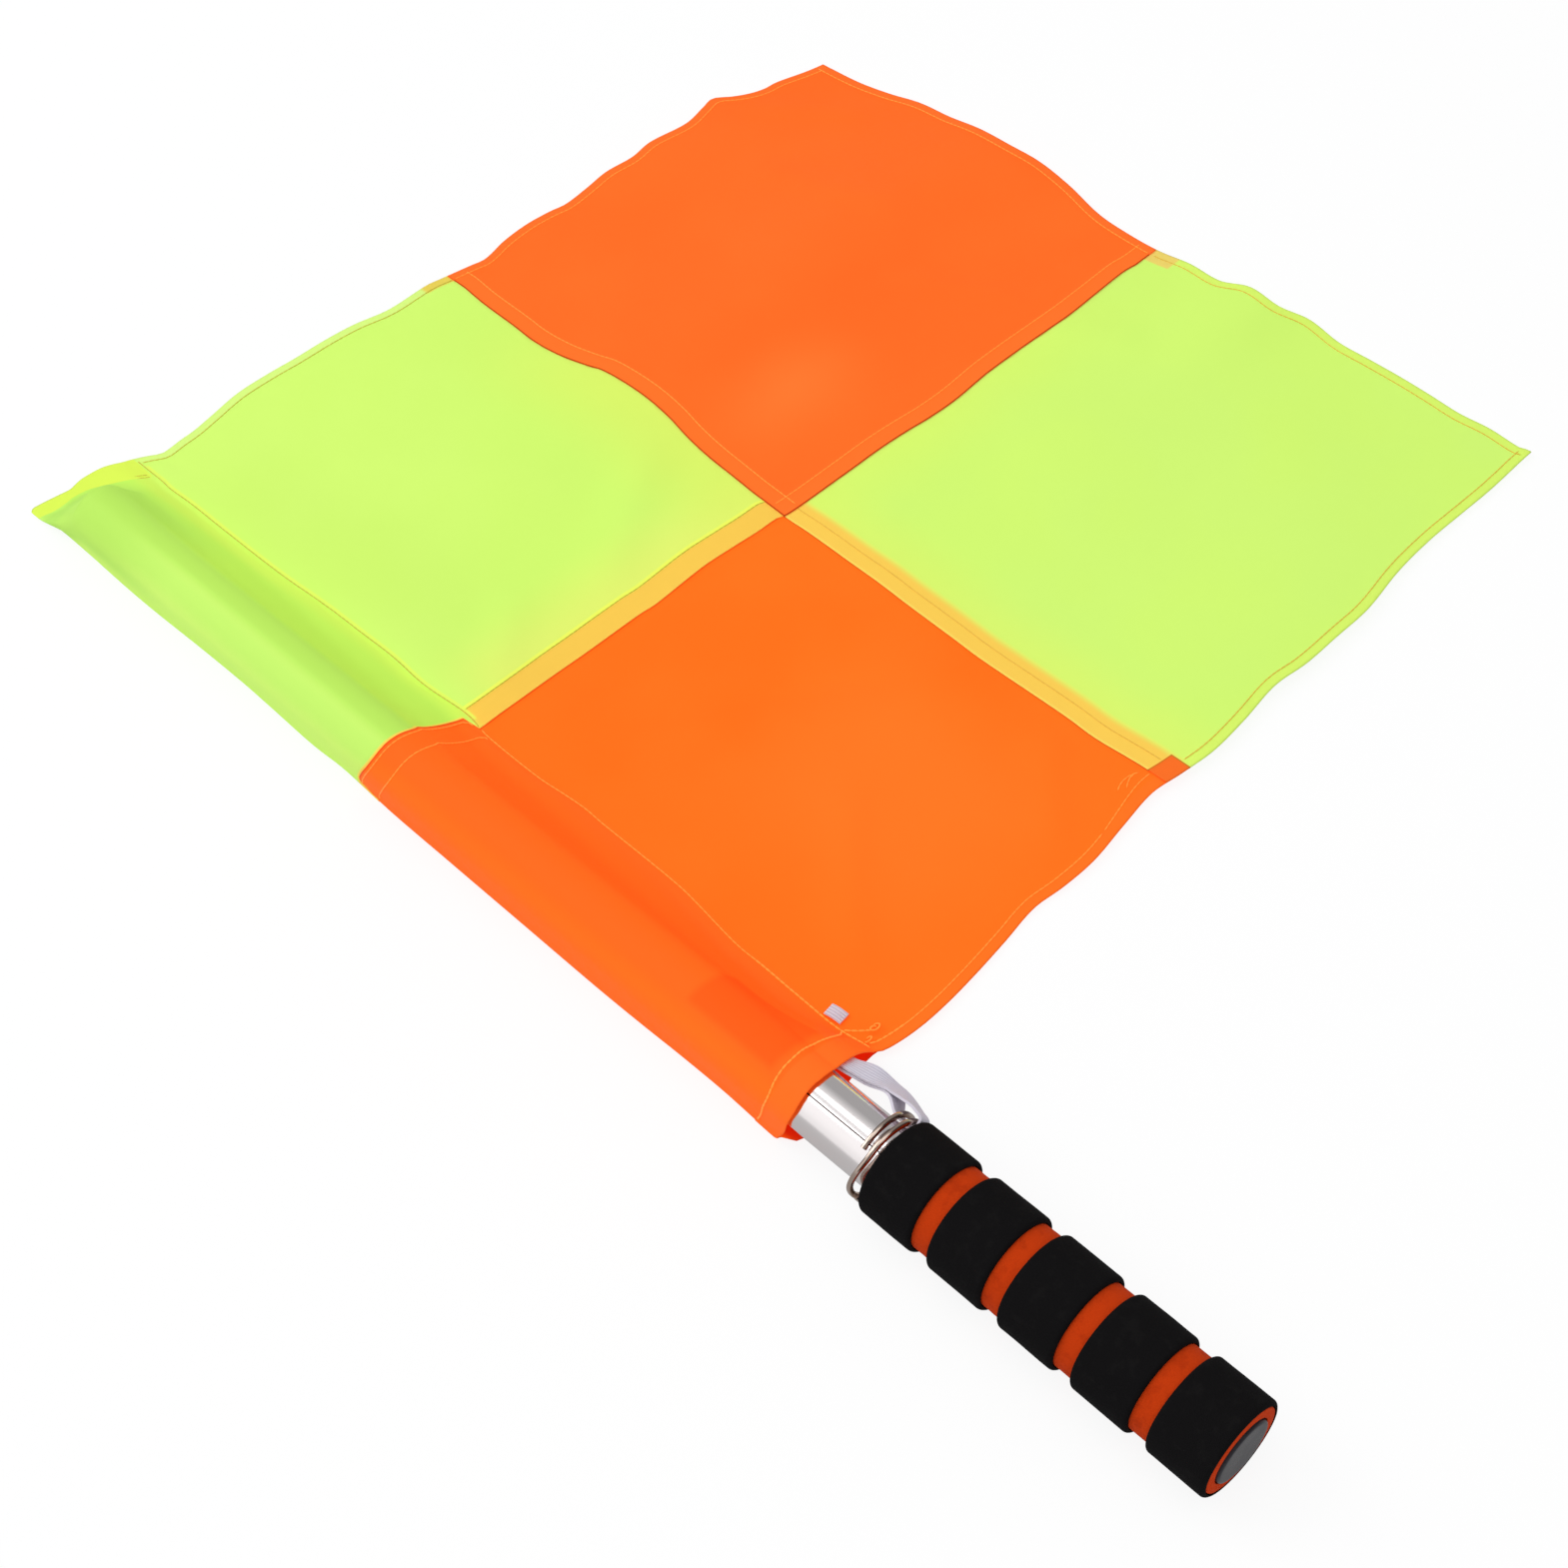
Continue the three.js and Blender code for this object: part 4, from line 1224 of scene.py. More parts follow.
    def over(self, nose: Vector, radius: float, v: float) -> list[tuple[Vector, float]]:
        """Gives the part of the section that is draped from the stitch line to the pole and lies over it.

        Args:
            nose: The section's point on the stitch line.
            radius: The cloth's radius round the pole.
            v: The section's v.

        Returns:
            Points as X and Z, each with its angle round the pole in degrees.
        """
        free = smooth(v / self.tent_reach)
        touch = self.touch(nose, radius, v)
        meet = Vector((radius * math.cos(touch), AXIS_HEIGHT + radius * math.sin(touch)))
        start = Vector((nose.x, nose.z))
        bend = Vector((meet.x + (meet.y - nose.z) * math.tan(touch), nose.z))
        flat: list[tuple[Vector, float]] = []
        for share in shares(self.drape_steps)[:-1]:
            point = start * (1 - share) ** 2 + bend * (2 * share * (1 - share)) + meet * share ** 2
            point.y += self.tent * (1 - free) * 4 * share ** 2 * (1 - share ** 2)
            ripple = math.sin(share * self.ripple_turn + v / self.ripple_length)
            point.y += self.ripple * ripple * share * (1 - share) * 4
            flat.append((point, share * math.degrees(touch)))
        for share in shares(self.wrap_steps):
            angle = lerp(touch, math.pi, share)
            point = Vector((radius * math.cos(angle), AXIS_HEIGHT + radius * math.sin(angle)))
            flat.append((point, math.degrees(angle)))
        return flat

    def under(self, nose: Vector, radius: float, fold: float, level: float) -> list[tuple[Vector, float]]:
        """Gives the part of the section that goes down beside the pole, curls and comes back under it.

        Args:
            nose: The section's point on the stitch line.
            radius: The cloth's radius round the pole.
            fold: Where the section folds under.
            level: The cloth's level in the pile of overlaps.

        Returns:
            Points as X and Z, each with its angle round the pole in degrees.
        """
        floor = self.floor_gap + level
        flat: list[tuple[Vector, float]] = []
        for share in shares(self.side_steps, 1):
            point = Vector((lerp(-radius, fold, smooth(share)), lerp(AXIS_HEIGHT, floor + self.curl, share)))
            flat.append((point, lerp(180.0, self.fold_turn, share)))
        for share in shares(self.curl_steps, 1):
            angle = math.radians(lerp(180, 270, share))
            point = Vector((fold + self.curl + self.curl * math.cos(angle),
                            floor + self.curl + self.curl * math.sin(angle)))
            flat.append((point, self.fold_turn))
        for share in shares(self.under_steps, 1):
            rise = smooth((share - self.under_rise) / (1 - self.under_rise))
            point = Vector((lerp(fold + self.curl, nose.x, share), lerp(floor, nose.z - self.under_drop, rise)))
            flat.append((point, self.fold_turn * (1 - rise)))
        flat.append((Vector((nose.x + self.under_end[0], nose.z + self.under_end[1])), 0.0))
        return flat

    def mouth_shift(self, point: Vector, turn: float, nose: Vector, fold: float) -> float:
        """Gives how far a section's point at the mouth lies along the pole from its place, before it fades out.

        Args:
            point: The point's X and Z.
            turn: Its angle round the pole in degrees.
            nose: The section's point on the stitch line.
            fold: Where the section folds under.

        Returns:
            The shift.
        """
        under = clamp((point.x - fold - self.curl) / (nose.x - fold - self.curl))
        above = point.y > nose.z + self.over_stitch
        if above and turn < 90:
            return -self.mouth_rise * (point.y / (AXIS_HEIGHT + self.wrap)) ** self.mouth_power
        shift = MOUTH_SHIFT.at(point.y)
        if above or under == 0:
            return shift
        dip = self.mouth_dip * math.sin(math.pi * under ** self.dip_lean) ** self.dip_power
        return shift * (1 - under) - dip * (1 - under)

    def lie(self, point: Vector, turn: float, nose: Vector, v: float, fold: float) -> Vector:
        """Puts a section's point at its place along the pole.

        Args:
            point: Its X and Z.
            turn: Its angle round the pole, down to 0 at the stitch line.
            nose: The section's point on the stitch line.
            v: The section's v.
            fold: Where the section folds under.

        Returns:
            The point, pressed flat past the pole's tip and skewed as it was sewn.
        """
        before, past = clamp(v / self.butt), clamp((v - self.butt) / self.tip)
        off_stitch = clamp((nose.x - point.x) / self.stitch_reach)
        from_fold = smooth((point.x + self.wrap) / (nose.x + self.wrap))
        y = nose.y + SEAM_LEAN.at(turn) * before * (1 - past) * off_stitch
        y += (TIP_EDGE.at(point.x) - TIP_EDGE.at(nose.x)) * past
        y += self.mouth_shift(point, turn, nose, fold) * smooth(1 - v / self.mouth_reach)
        y += self.tip_skew * (nose.z - self.skew_from) * (1 - from_fold) * past ** self.skew_power
        share = clamp((y - self.pole_end) / (TIP_BAND.at(point.x) - self.pole_end))
        closing = 1 - (1 - share) ** self.closing_power
        low, rise = self.pressed
        pressed = lerp(low + rise * (point.y / (AXIS_HEIGHT + self.wrap)), nose.z, from_fold)
        pressed += (point.y - nose.z) * from_fold ** self.rim_power
        return Vector((point.x, y, lerp(point.y, pressed, closing)))

    def sleeve(self, share: float, v: float, level: float) -> Vector:
        """Gives a point of the sleeve's cloth at a share of its section.

        Args:
            share: The share.
            v: The section's v.
            level: The level in the pile of overlaps.

        Returns:
            The point.
        """
        points = self.section(v, level)
        place = clamp(share) * (len(points) - 1)
        index = min(int(place), len(points) - 2)
        return points[index].lerp(points[index + 1], place - index)

    def sleeve_length(self, share: float, v: float) -> float:
        """Gives the length of cloth from the stitch line to a share of the section.

        Args:
            share: The share.
            v: The section's v.

        Returns:
            The length, stretched so that the ridge over the pole always lies at the same one.
        """
        points = self.section(v, 0.0)
        touch = self.touch(self.panel(0, v, 0.0), self.wrap, v)
        ridge = self.drape_steps + self.wrap_steps * (math.pi / 2 - touch) / (math.pi - touch)
        length = self.length_to(points, clamp(share) * (len(points) - 1))
        return self.ridge_length * length / self.length_to(points, ridge)

    def length_to(self, points: Sequence[Vector], last: float) -> float:
        """Gives the length along points up to a place, counted in steps."""
        steps = range(min(int(last) + 1, len(points) - 1))
        return sum((points[i + 1] - points[i]).length * clamp(last - i) for i in steps)

    def band_place(self, share: float, halvings: int = 18) -> float:
        """Gives the v at which the sleeve's cloth meets the inner line of the tip's hem.

        Args:
            share: A share of the sleeve's section.
            halvings: Steps of the search.

        Returns:
            The v.
        """
        low, high = self.butt, self.butt + self.tip
        for _ in range(halvings):
            middle = (low + high) / 2
            point = self.sleeve(share, middle, 0.0)
            low, high = (middle, high) if point.y < TIP_BAND.at(point.x) else (low, middle)
        return low


class Quarter(Enum):
    """The flag's four quarters, with the CAD node that each stands for."""

    TIP_HOIST = "cloth_tip_hoist"
    TIP_FLY = "cloth_tip_fly"
    BUTT_HOIST = "cloth_butt_hoist"
    BUTT_FLY = "cloth_butt_fly"


YELLOW = srgb(211, 252, 112)
GOLD = srgb(252, 205, 82)
PALE = srgb(232, 246, 114)
# The red tint of the orange quarters' painted glow.
RED_GLOW_TINT = (1.0, 0.0, 0.0, 1.0)

# Each quarter's finish: its colours, with marks of the cloth's own colour and marks of painted light and shade.
FINISHES: dict[Quarter, Cloth] = {
    Quarter.TIP_HOIST: Cloth("yellow cloth with the tip's sleeve", YELLOW, srgb(213, 253, 116), (
        Mark(PALE, 0.85, (10, 140), (160, 198), 12, 16),
        Mark(srgb(224, 247, 104), 0.7, (112, 160), (170, 300), 18, 40),
        # Painted highlight along the cross seam's stitch line.
        Mark(srgb(240, 255, 96), 1.0, (-0.5, 140), (183, 184.9), 0.4, 0.3),
        Mark(GOLD, 1.0, (-0.5, 140), (160, 183.2), 0.4, 0.3),
        Mark(srgb(219, 251, 134), 0.8, (-0.2, 140), (354.3, 370), 0.3, 0.3),
        Mark(srgb(236, 205, 82), 0.9, (122, 140), (353.8, 370), 1.0, 0.4),
        # Painted highlight beside the stitch line along the sleeve.
        Mark(srgb(238, 255, 100), 0.8, (0.5, 1.5), (178, 352), 0.25, 1),
        # Painted light and shade on the sleeve: a lightened colour over all of it, painted shade on the flank, along
        # the ridge and on the side, a painted shadow in a crescent past the pole's end, and painted shade towards the
        # tip.
        Mark(srgb(213, 255, 119), 1.0, (-200, -0.4), (0, 400), 0.4, 1),
        Mark(srgb(211, 247, 96), 1.0, (-14, -0.6), (0, 400), 4, 1),
        Mark(srgb(202, 249, 96), 1.0, (-37, -8), (0, 400), 3, 1),
        Mark(srgb(189, 237, 98), 0.95, (-38.5, -28.5), (0, 352), 2.5, 4),
        Mark(srgb(200, 247, 111), 0.9, (-48, -38.5), (0, 400), 3.5, 1),
        Mark(srgb(172, 228, 106), 0.7, (-60, -22), (341, 351), 6, 3.5),
        Mark(srgb(186, 236, 98), 0.75, (-62, -12), (297, 353), 5, 20),
        Mark(srgb(255, 220, 90), 0.9, (-200, -0.4), (160, 174.8), 0.4, 0.15)),
        band=srgb(222, 248, 88)),
    Quarter.BUTT_FLY: Cloth("yellow cloth of the butt's fly quarter", srgb(213, 253, 115), srgb(212, 252, 118), (
        Mark(srgb(225, 251, 110), 0.7, (120, 152), (-10, 190), 13, 20),
        Mark(srgb(222, 254, 108), 0.6, (120, 260), (160, 190), 60, 16),
        Mark(srgb(255, 209, 86), 1.0, (120, 142.2), (-10, 190), 1.8, 1),
        # Painted highlight along the quarter's edge at the middle seam.
        Mark(srgb(255, 226, 104), 0.7, (120, 133.7), (-10, 190), 0.25, 1),
        Mark(srgb(221, 251, 106), 0.8, (316.3, 330), (-10, 190), 0.3, 1),
        Mark(srgb(221, 251, 106), 0.8, (120, 330), (-10, 3.7), 1, 0.3),
        Mark(srgb(243, 211, 108), 0.9, (313, 330), (163, 190), 0.5, 0.6),
        # Painted shadow round the orange flap in the corner, under the flap's own colour.
        Mark(srgb(206, 92, 14), 0.9, (120, 142.3), (-10, 7.7), 0.2, 0.2),
        Mark(srgb(255, 114, 38), 1.0, (120, 141.8), (-10, 7.2), 0.2, 0.2))),
    Quarter.TIP_FLY: Cloth("orange cloth of the tip's fly quarter", srgb(254, 111, 36), srgb(254, 114, 38), (
        Mark(srgb(255, 126, 50), 0.9, (155, 196), (205, 232), 22, 18),
        Mark(srgb(255, 120, 43), 0.8, (120, 139.4), (160, 370), 0.3, 1),
        Mark(srgb(255, 120, 43), 0.8, (120, 330), (160, 180.6), 1, 0.3),
        # Painted shadow lines along the quarter's edges at the middle seam and the cross seam.
        Mark(srgb(150, 62, 8), 0.85, (120, 133.4), (160, 370), 0.15, 1),
        Mark(srgb(150, 62, 8), 0.85, (120, 330), (160, 174.4), 1, 0.15),
        Mark(srgb(253, 117, 43), 0.7, (316.3, 330), (160, 370), 0.3, 1),
        Mark(srgb(253, 117, 43), 0.7, (120, 330), (354.3, 370), 1, 0.3)), glow_tint=RED_GLOW_TINT),
    Quarter.BUTT_HOIST: Cloth("orange cloth with the butt's sleeve", srgb(254, 119, 28), srgb(254, 115, 24), (
        Mark(srgb(255, 124, 36), 0.7, (40, 110), (20, 100), 20, 24),
        Mark(srgb(253, 120, 34), 0.8, (-0.2, 150), (-10, 3.7), 0.3, 0.3),
        Mark(srgb(254, 117, 30), 1.0, (-200, -0.4), (-20, 200), 0.4, 1),
        # Painted shade over the sleeve's ridge and flank.
        Mark(srgb(254, 109, 30), 1.0, (-44, -0.4), (-20, 200), 3, 1),
        Mark(srgb(254, 110, 27), 1.0, (-34, -8), (-20, 200), 2.5, 1),
        # Partly painted shade: a darker patch near the mouth, where an inner layer shows through the cloth with the
        # shade of the pocket under it.
        Mark(srgb(254, 92, 20), 0.75, (-41, -17), (12, 41), 1.5, 1.5),
        Mark(srgb(253, 118, 38), 0.7, (-62, -0.4), (-20, 8), 0.4, 0.4),
        # Painted shadow lines along the orange's edges at the cross seam and the middle seam.
        Mark(srgb(214, 70, 20), 0.8, (-200, 150), (173.4, 200), 0.4, 0.15),
        Mark(srgb(150, 58, 8), 0.85, (132.5, 150), (7, 200), 0.15, 0.3),
        # Painted shade on the sleeve's under layer, beside and under the pole.
        Mark(srgb(214, 44, 10), 0.9, (-200, -70), (-20, 190), 3, 1)), glow_tint=RED_GLOW_TINT),
}


@dataclass
class Flag:
    """The four sewn quarters of cloth, with their sleeve, hems and overlaps."""

    shape: FlagShape
    step: float = 2.2
    thickness: float = 0.34
    pile: float = 0.5
    pile_reach: float = 4.0
    hem: float = 3.5
    hem_drop: float = 0.5
    hem_curl: float = 0.6
    hem_turn: float = 0.5
    hem_rows: tuple[float, ...] = (0.3, 0.6, 1.0)
    edge_row: float = 0.2
    mouth_hem: float = 8.0
    mid_overlap: float = 9.5
    tip_underlap: float = 4.0
    cross_underlap: float = 5.0
    fly_underlap: float = 4.0
    sleeve_overlap: float = 9.0
    overlap_ease: tuple[float, float] = (12.0, 0.2)
    sleeve_past: float = 30.0
    sleeve_ease: float = 9.0
    off_band: float = -9.0
    fine_from: float = 330.0
    fine_rows: int = 40
    sleeve_steps: int = 84
    tip_count: int = 76
    butt_count: int = 88

    def levels(self, quarter: Quarter, u: float) -> float:
        """Gives how high a quarter lies in the pile of overlapping edges.

        Args:
            quarter: Which quarter.
            u: The place across the cloth, below 0 on the sleeve.

        Returns:
            The height.
        """
        if quarter is Quarter.TIP_FLY:
            return 2 * self.pile
        if quarter is Quarter.BUTT_FLY:
            return self.pile
        share = smooth((u + self.pile_reach) / (2 * self.pile_reach))
        return self.pile * (share if quarter is Quarter.TIP_HOIST else 1 - share)

    def sleeve_level(self, quarter: Quarter, share: float) -> float:
        """Gives a quarter's level on the sleeve, where the pile turns over within the first tenth of the section."""
        return self.levels(quarter, -self.sleeve_past * smooth(share * self.sleeve_ease))

    def rows(self, start: float, end: float, hem_start: float, hem_end: float, fine: float = 0.0) -> list[float]:
        """Gives the places of a mesh's rows, with the turned-under hems past its edges.

        Args:
            start: The first edge.
            end: The last edge.
            hem_start: How wide the hem at the first edge is, or 0.
            hem_end: How wide the hem at the last edge is, or 0.
            fine: A place past which the rows lie closer.

        Returns:
            The rows' places in order.
        """
        near, curl = self.edge_row, self.hem_curl
        count = max(2, round((end - start) / self.step))
        body = [lerp(start, end, share) for share in shares(count)]
        if fine:
            body = [p for p in body if p < fine] + [lerp(fine, end, share) for share in shares(self.fine_rows)]
        body[1:1] = [start + (curl if hem_start else near)]
        if hem_start:
            under = [start - hem_start * s for s in reversed(self.hem_rows)]
            body = under + [start - self.hem_turn, start - near] + body
        if hem_end:
            body[-1:-1] = [end - curl]
            body += [end + near, end + self.hem_turn] + [end + hem_end * s for s in self.hem_rows]
        return body

    def resampled(self, places: list[float], count: int) -> list[float]:
        """Resamples rows to a fixed count, so that every column has as many, with a row beside each edge.

        Args:
            places: The rows' places.
            count: How many steps the new rows have.

        Returns:
            The new rows' places.
        """
        steps = [i * (len(places) - 1) / count for i in range(count + 1)]
        made = [lerp(places[int(s)], places[min(int(s) + 1, len(places) - 1)], s - int(s)) for s in steps]
        made[1], made[-2] = made[0] + self.edge_row, made[-1] - self.edge_row
        return made

    def tip_rows(self, u: float) -> list[float]:
        """Gives the rows of the tip's hoist quarter, which on the sleeve starts under the butt's quarter.

        Args:
            u: The column's u, or its share of the sleeve's section below 0.

        Returns:
            The rows' places.
        """
        rate, delay = self.overlap_ease
        start = self.shape.butt - self.sleeve_overlap * smooth(-u * rate - delay)
        end = self.shape.butt + self.shape.tip
        return self.resampled(self.rows(start, end, 0, self.hem, self.fine_from), self.tip_count)

    def butt_rows(self, u: float) -> list[float]:
        """Gives the rows of the butt's hoist quarter, which has a wide hem at the mouth.

        Args:
            u: The column's u, or its share of the sleeve's section below 0.

        Returns:
            The rows' places.
        """
        on_panel = u > 0
        end = self.shape.butt + (self.cross_underlap if on_panel else 0)
        return self.resampled(self.rows(0, end, self.hem if on_panel else self.mouth_hem, 0), self.butt_count)

    def turned_under(self, place: float, low: float, high: float) -> tuple[float, float]:
        """Folds a place past an edge back under the cloth, and gives it with its drop.

        Args:
            place: The place.
            low: The first edge.
            high: The last edge.

        Returns:
            The place on the cloth and how far it lies under it.
        """
        over = max(low - place, place - high, 0.0)
        if over == 0:
            return place, 0.0
        inside = 2 * low - place if place < low else 2 * high - place
        return inside, self.hem_drop * smooth(over / self.hem_curl)

    def sheet(self, quarter: Quarter, columns: Sequence[tuple[bool, float]], rows: Callable[[float], list[float]],
              slot: str) -> bpy.types.Object:
        """Builds one quarter as a grid laid on the flag's shape.

        Args:
            quarter: Which quarter.
            columns: Whether each column is on the sleeve, and its u or its share of the sleeve's section.
            rows: Gives the rows' places for a column's u, always as many. On the sleeve it gets the share below 0.
            slot: The slot of its finish.

        Returns:
            The object.
        """
        width, length = self.shape.hoist + self.shape.fly, self.shape.butt + self.shape.tip
        last = len(rows(1.0)) - 1
        bm = bmesh.new()
        bmesh.ops.create_grid(bm, x_segments=len(columns) - 1, y_segments=last, size=0.5)
        across, along, band = (bm.verts.layers.float.new(name) for name in ("across", "along", "band"))
        for vert in bm.verts:
            on_sleeve, place = columns[round((vert.co.x + 0.5) * (len(columns) - 1))]
            v = rows(-place if on_sleeve else place)[round((vert.co.y + 0.5) * last)]
            v, drop = self.turned_under(v, 0.0, length)
            if on_sleeve:
                point = self.shape.sleeve(place, v, self.sleeve_level(quarter, place) - drop)
                vert[across] = -self.shape.sleeve_length(place, v) * MM
                vert[band] = point.y - TIP_BAND.at(point.x)
            else:
                u, side_drop = self.turned_under(place, -math.inf, width)
                point = self.shape.panel(u, v, self.levels(quarter, u) - max(drop, side_drop))
                vert[across] = u * MM
                vert[band] = self.off_band
            vert.co = row(point)
            vert[along] = v * MM
        mapped(bm, across, along)
        bmesh.ops.recalc_face_normals(bm, faces=bm.faces[:])
        made = new_object(f"quarter_{quarter.name.lower()}", bm, FINISHES[quarter].material())
        wall = made.modifiers.new("cloth thickness", "SOLIDIFY")
        wall.thickness = self.thickness * MM
        wall.offset = 0.0
        return placed(made, "flag", slot, quarter.value)

    def build(self) -> list[bpy.types.Object]:
        """Builds the four quarters.

        Returns:
            The objects of the quarters.
        """
        shape = self.shape
        sleeve = [(True, share) for share in shares(self.sleeve_steps, 1)]
        tip_columns, butt_columns = (
            [(False, u) for u in reversed(self.rows(0, shape.hoist + over, 0, 0))] + sleeve
            for over in (self.tip_underlap, self.mid_overlap))
        fly_columns = [(False, u) for u in self.rows(shape.hoist, shape.hoist + shape.fly, 0, self.hem)]
        tip_fly_rows = self.rows(shape.butt, shape.butt + shape.tip, 0, self.hem)
        butt_fly_rows = self.rows(0, shape.butt + self.fly_underlap, self.hem, 0)
        tip_hoist = self.sheet(Quarter.TIP_HOIST, tip_columns, self.tip_rows, "yellow_cloth")
        butt_hoist = self.sheet(Quarter.BUTT_HOIST, butt_columns, self.butt_rows, "orange_cloth")
        tip_fly = self.sheet(Quarter.TIP_FLY, fly_columns, lambda u: tip_fly_rows, "orange_cloth")
        butt_fly = self.sheet(Quarter.BUTT_FLY, fly_columns, lambda u: butt_fly_rows, "yellow_cloth")
        return [tip_hoist, butt_hoist, tip_fly, butt_fly]


@dataclass
class ElasticLoop:
    """The flat elastic that ties the sleeve to the ring, with its end that shows beside the stitch line.

    A stop of its two layers is a stand-off from the sleeve's wrap, an angle round the pole and the angle that its face
    looks towards.
    """

    shape: FlagShape
    width: float = 6.8
    thickness: float = 0.9
    apart: float = 0.15
    clearance: float = 0.3
    pole_radius: float = 9.85
    pole_gap: float = 0.45
    ring_radius: float = 13.7
    ring_angle: float = 28.0
    ring_reach: tuple[float, ...] = (2.4, 2.0, 1.3, 1.5)
    grip_end: float = 117.0
    bend: float = 3.9
    mouth: float = 150.0
    wrap: float = 10.95
    tail: tuple[float, float, float] = (5.0, -14.0, 46.0)
    leave: tuple[float, float, float] = (2.3, 14.0, 58.0)
    arch: tuple[float, float, float] = (3.9, 20.0, 76.0)
    split: tuple[float, float, float] = (4.6, 20.0, 48.0)
    tail_inside: float = 16.0
    leave_before: float = 2.0
    split_share: float = 0.28
    steps: int = 12
    ribs: int = 7
    rib_steps: int = 4
    groove_level: float = 0.8
    tab_start: tuple[float, float] = (3.2, 21.2)
    tab_end: tuple[float, float] = (3.7, 15.5)
    tab_level: float = 0.5
    tab_lift: float = 0.35
    tab_arch: float = 0.5
    tab_steps: int = 8
    tab_ribs: int = 4
    tab_scale: tuple[float, float] = (0.62, 0.6)
    # Its second colour is the painted shade in the elastic's grooves.
    finish: Webbing = Webbing("white elastic", srgb(228, 223, 236), srgb(168, 158, 184))

    def around(self, radius: float, angle: float, place: float) -> Vector:
        """Gives a point at a radius, an angle in degrees and a place along the pole."""
        turn = math.radians(angle)
        return Vector((radius * math.cos(turn), place, AXIS_HEIGHT + radius * math.sin(turn)))

    def layered(self, stop: tuple[float, float, float], place: float, side: int) -> tuple[Vector, float]:
        """Gives a stop of the two layers that lie on each other.

        Args:
            stop: The stop.
            place: Its place along the pole.
            side: 1 for the outer layer and -1 for the inner.

        Returns:
            The point, and the angle that the elastic looks towards.
        """
        standoff, angle, look = stop
        facing = Vector((math.cos(math.radians(look)), 0, math.sin(math.radians(look))))
        apart = side * (self.thickness / 2 + self.apart)
        return self.around(self.wrap + standoff, angle, place) + facing * apart, look

    def route(self) -> list[tuple[Vector, float]]:
        """Gives the CAD solid's route: each stop with the angle that the elastic's face looks towards.

        Returns:
            The stops in order, as points with angles in degrees.
        """
        layer = self.thickness / 2
        inner = self.pole_radius + self.pole_gap + layer
        outer = self.ring_radius + self.clearance + layer
        grip_side = self.grip_end + self.clearance + layer
        far_side = sum(self.ring_reach, self.grip_end)
        leave = self.mouth - self.leave_before
        split = lerp(far_side, leave, self.split_share)
        pocket = ((self.tail, self.mouth + self.tail_inside), (self.leave, leave), (self.arch, (split + leave) / 2),
                  (self.split, split))
        beside = ((outer + self.thickness, self.grip_end + self.bend), (outer, grip_side + layer),
                  ((outer + inner) / 2, grip_side), (inner, grip_side + layer),
                  (inner, (grip_side + far_side) / 2), (inner + layer, far_side + layer))
        return ([self.layered(stop, place, 1) for stop, place in pocket]
                + [(self.around(radius, self.ring_angle, place), self.ring_angle) for radius, place in beside]
                + [self.layered(stop, place, -1) for stop, place in reversed(pocket)])

    def curve(self, stops: Sequence[Vector], share: float) -> Vector:
        """Gives the point at a share of a smooth curve through the stops, whose slopes follow the stops' spacing.

        Args:
            stops: The stops.
            share: The share.

        Returns:
            The point.
        """
        place = clamp(share) * (len(stops) - 1)
        index = min(int(place), len(stops) - 2)
        before, start = stops[max(index - 1, 0)], stops[index]
        end, after = stops[index + 1], stops[min(index + 2, len(stops) - 1)]
        pairs = (before, start), (start, end), (end, after)
        first, middle, last = (max((b - a).length, 1e-6) ** 0.5 for a, b in pairs)
        slope = slope_end = (end - start) / middle
        if index > 0:
            slope = (start - before) / first - (end - before) / (first + middle) + (end - start) / middle
        if index < len(stops) - 2:
            slope_end = (end - start) / middle - (after - start) / (middle + last) + (after - end) / last
        t = place - index
        square, cube = t * t, t ** 3
        return (start * (2 * cube - 3 * square + 1) + slope * middle * (cube - 2 * square + t)
                + end * (3 * square - 2 * cube) + slope_end * middle * (cube - square))

    def section(self, ribs: int) -> list[tuple[float, float]]:
        """Gives the elastic's section with a rib for each cord in it, in metres.

        Args:
            ribs: How many ribs the section has.

        Returns:
            The section's corners.
        """
        half, thick, count = self.width / 2, self.thickness / 2, ribs * self.rib_steps
        points = []
        for i in range(count + 1):
            swell = abs(math.sin(math.pi * ribs * i / count))
            points.append((lerp(-half, half, i / count), thick * lerp(self.groove_level, 1, swell)))
        points += [(-x, -y) for x, y in points]
        return [(x * MM, y * MM) for x, y in points]

    def frames(self) -> list[Matrix]:
        """Gives the frames that the loop's section is swept along: X across it, Y through it and Z ahead.

        Returns:
            The frames in order.
        """
        route = self.route()
        stops = [point for point, _ in route]
        frames = []
        for share in shares((len(route) - 1) * self.steps):
            ahead = self.curve(stops, min(share + 0.002, 1)) - self.curve(stops, max(share - 0.002, 0))
            ahead.normalize()
            place = share * (len(route) - 1)
            index = min(int(place), len(route) - 2)
            angle = math.radians(lerp(route[index][1], route[index + 1][1], smooth(place - index)))
            wide = Vector((0, 1, 0)).cross(Vector((math.cos(angle), 0, math.sin(angle))))
            wide = (wide - ahead * wide.dot(ahead)).normalized()
            frame = Matrix((wide, ahead.cross(wide), ahead)).transposed().to_4x4()
            frame.translation = row(self.curve(stops, share))
            frames.append(frame)
        return frames

    def build(self) -> list[bpy.types.Object]:
        """Builds the loop and the tab.

        Returns:
            The objects.
        """
        material = self.finish.material()
        loop = new_object("elastic_strap", swept(self.section(self.ribs), self.frames()), material, sharp=50)
        return [placed(loop, "flag", "white_elastic", "elastic_loop"), self.tab(material)]

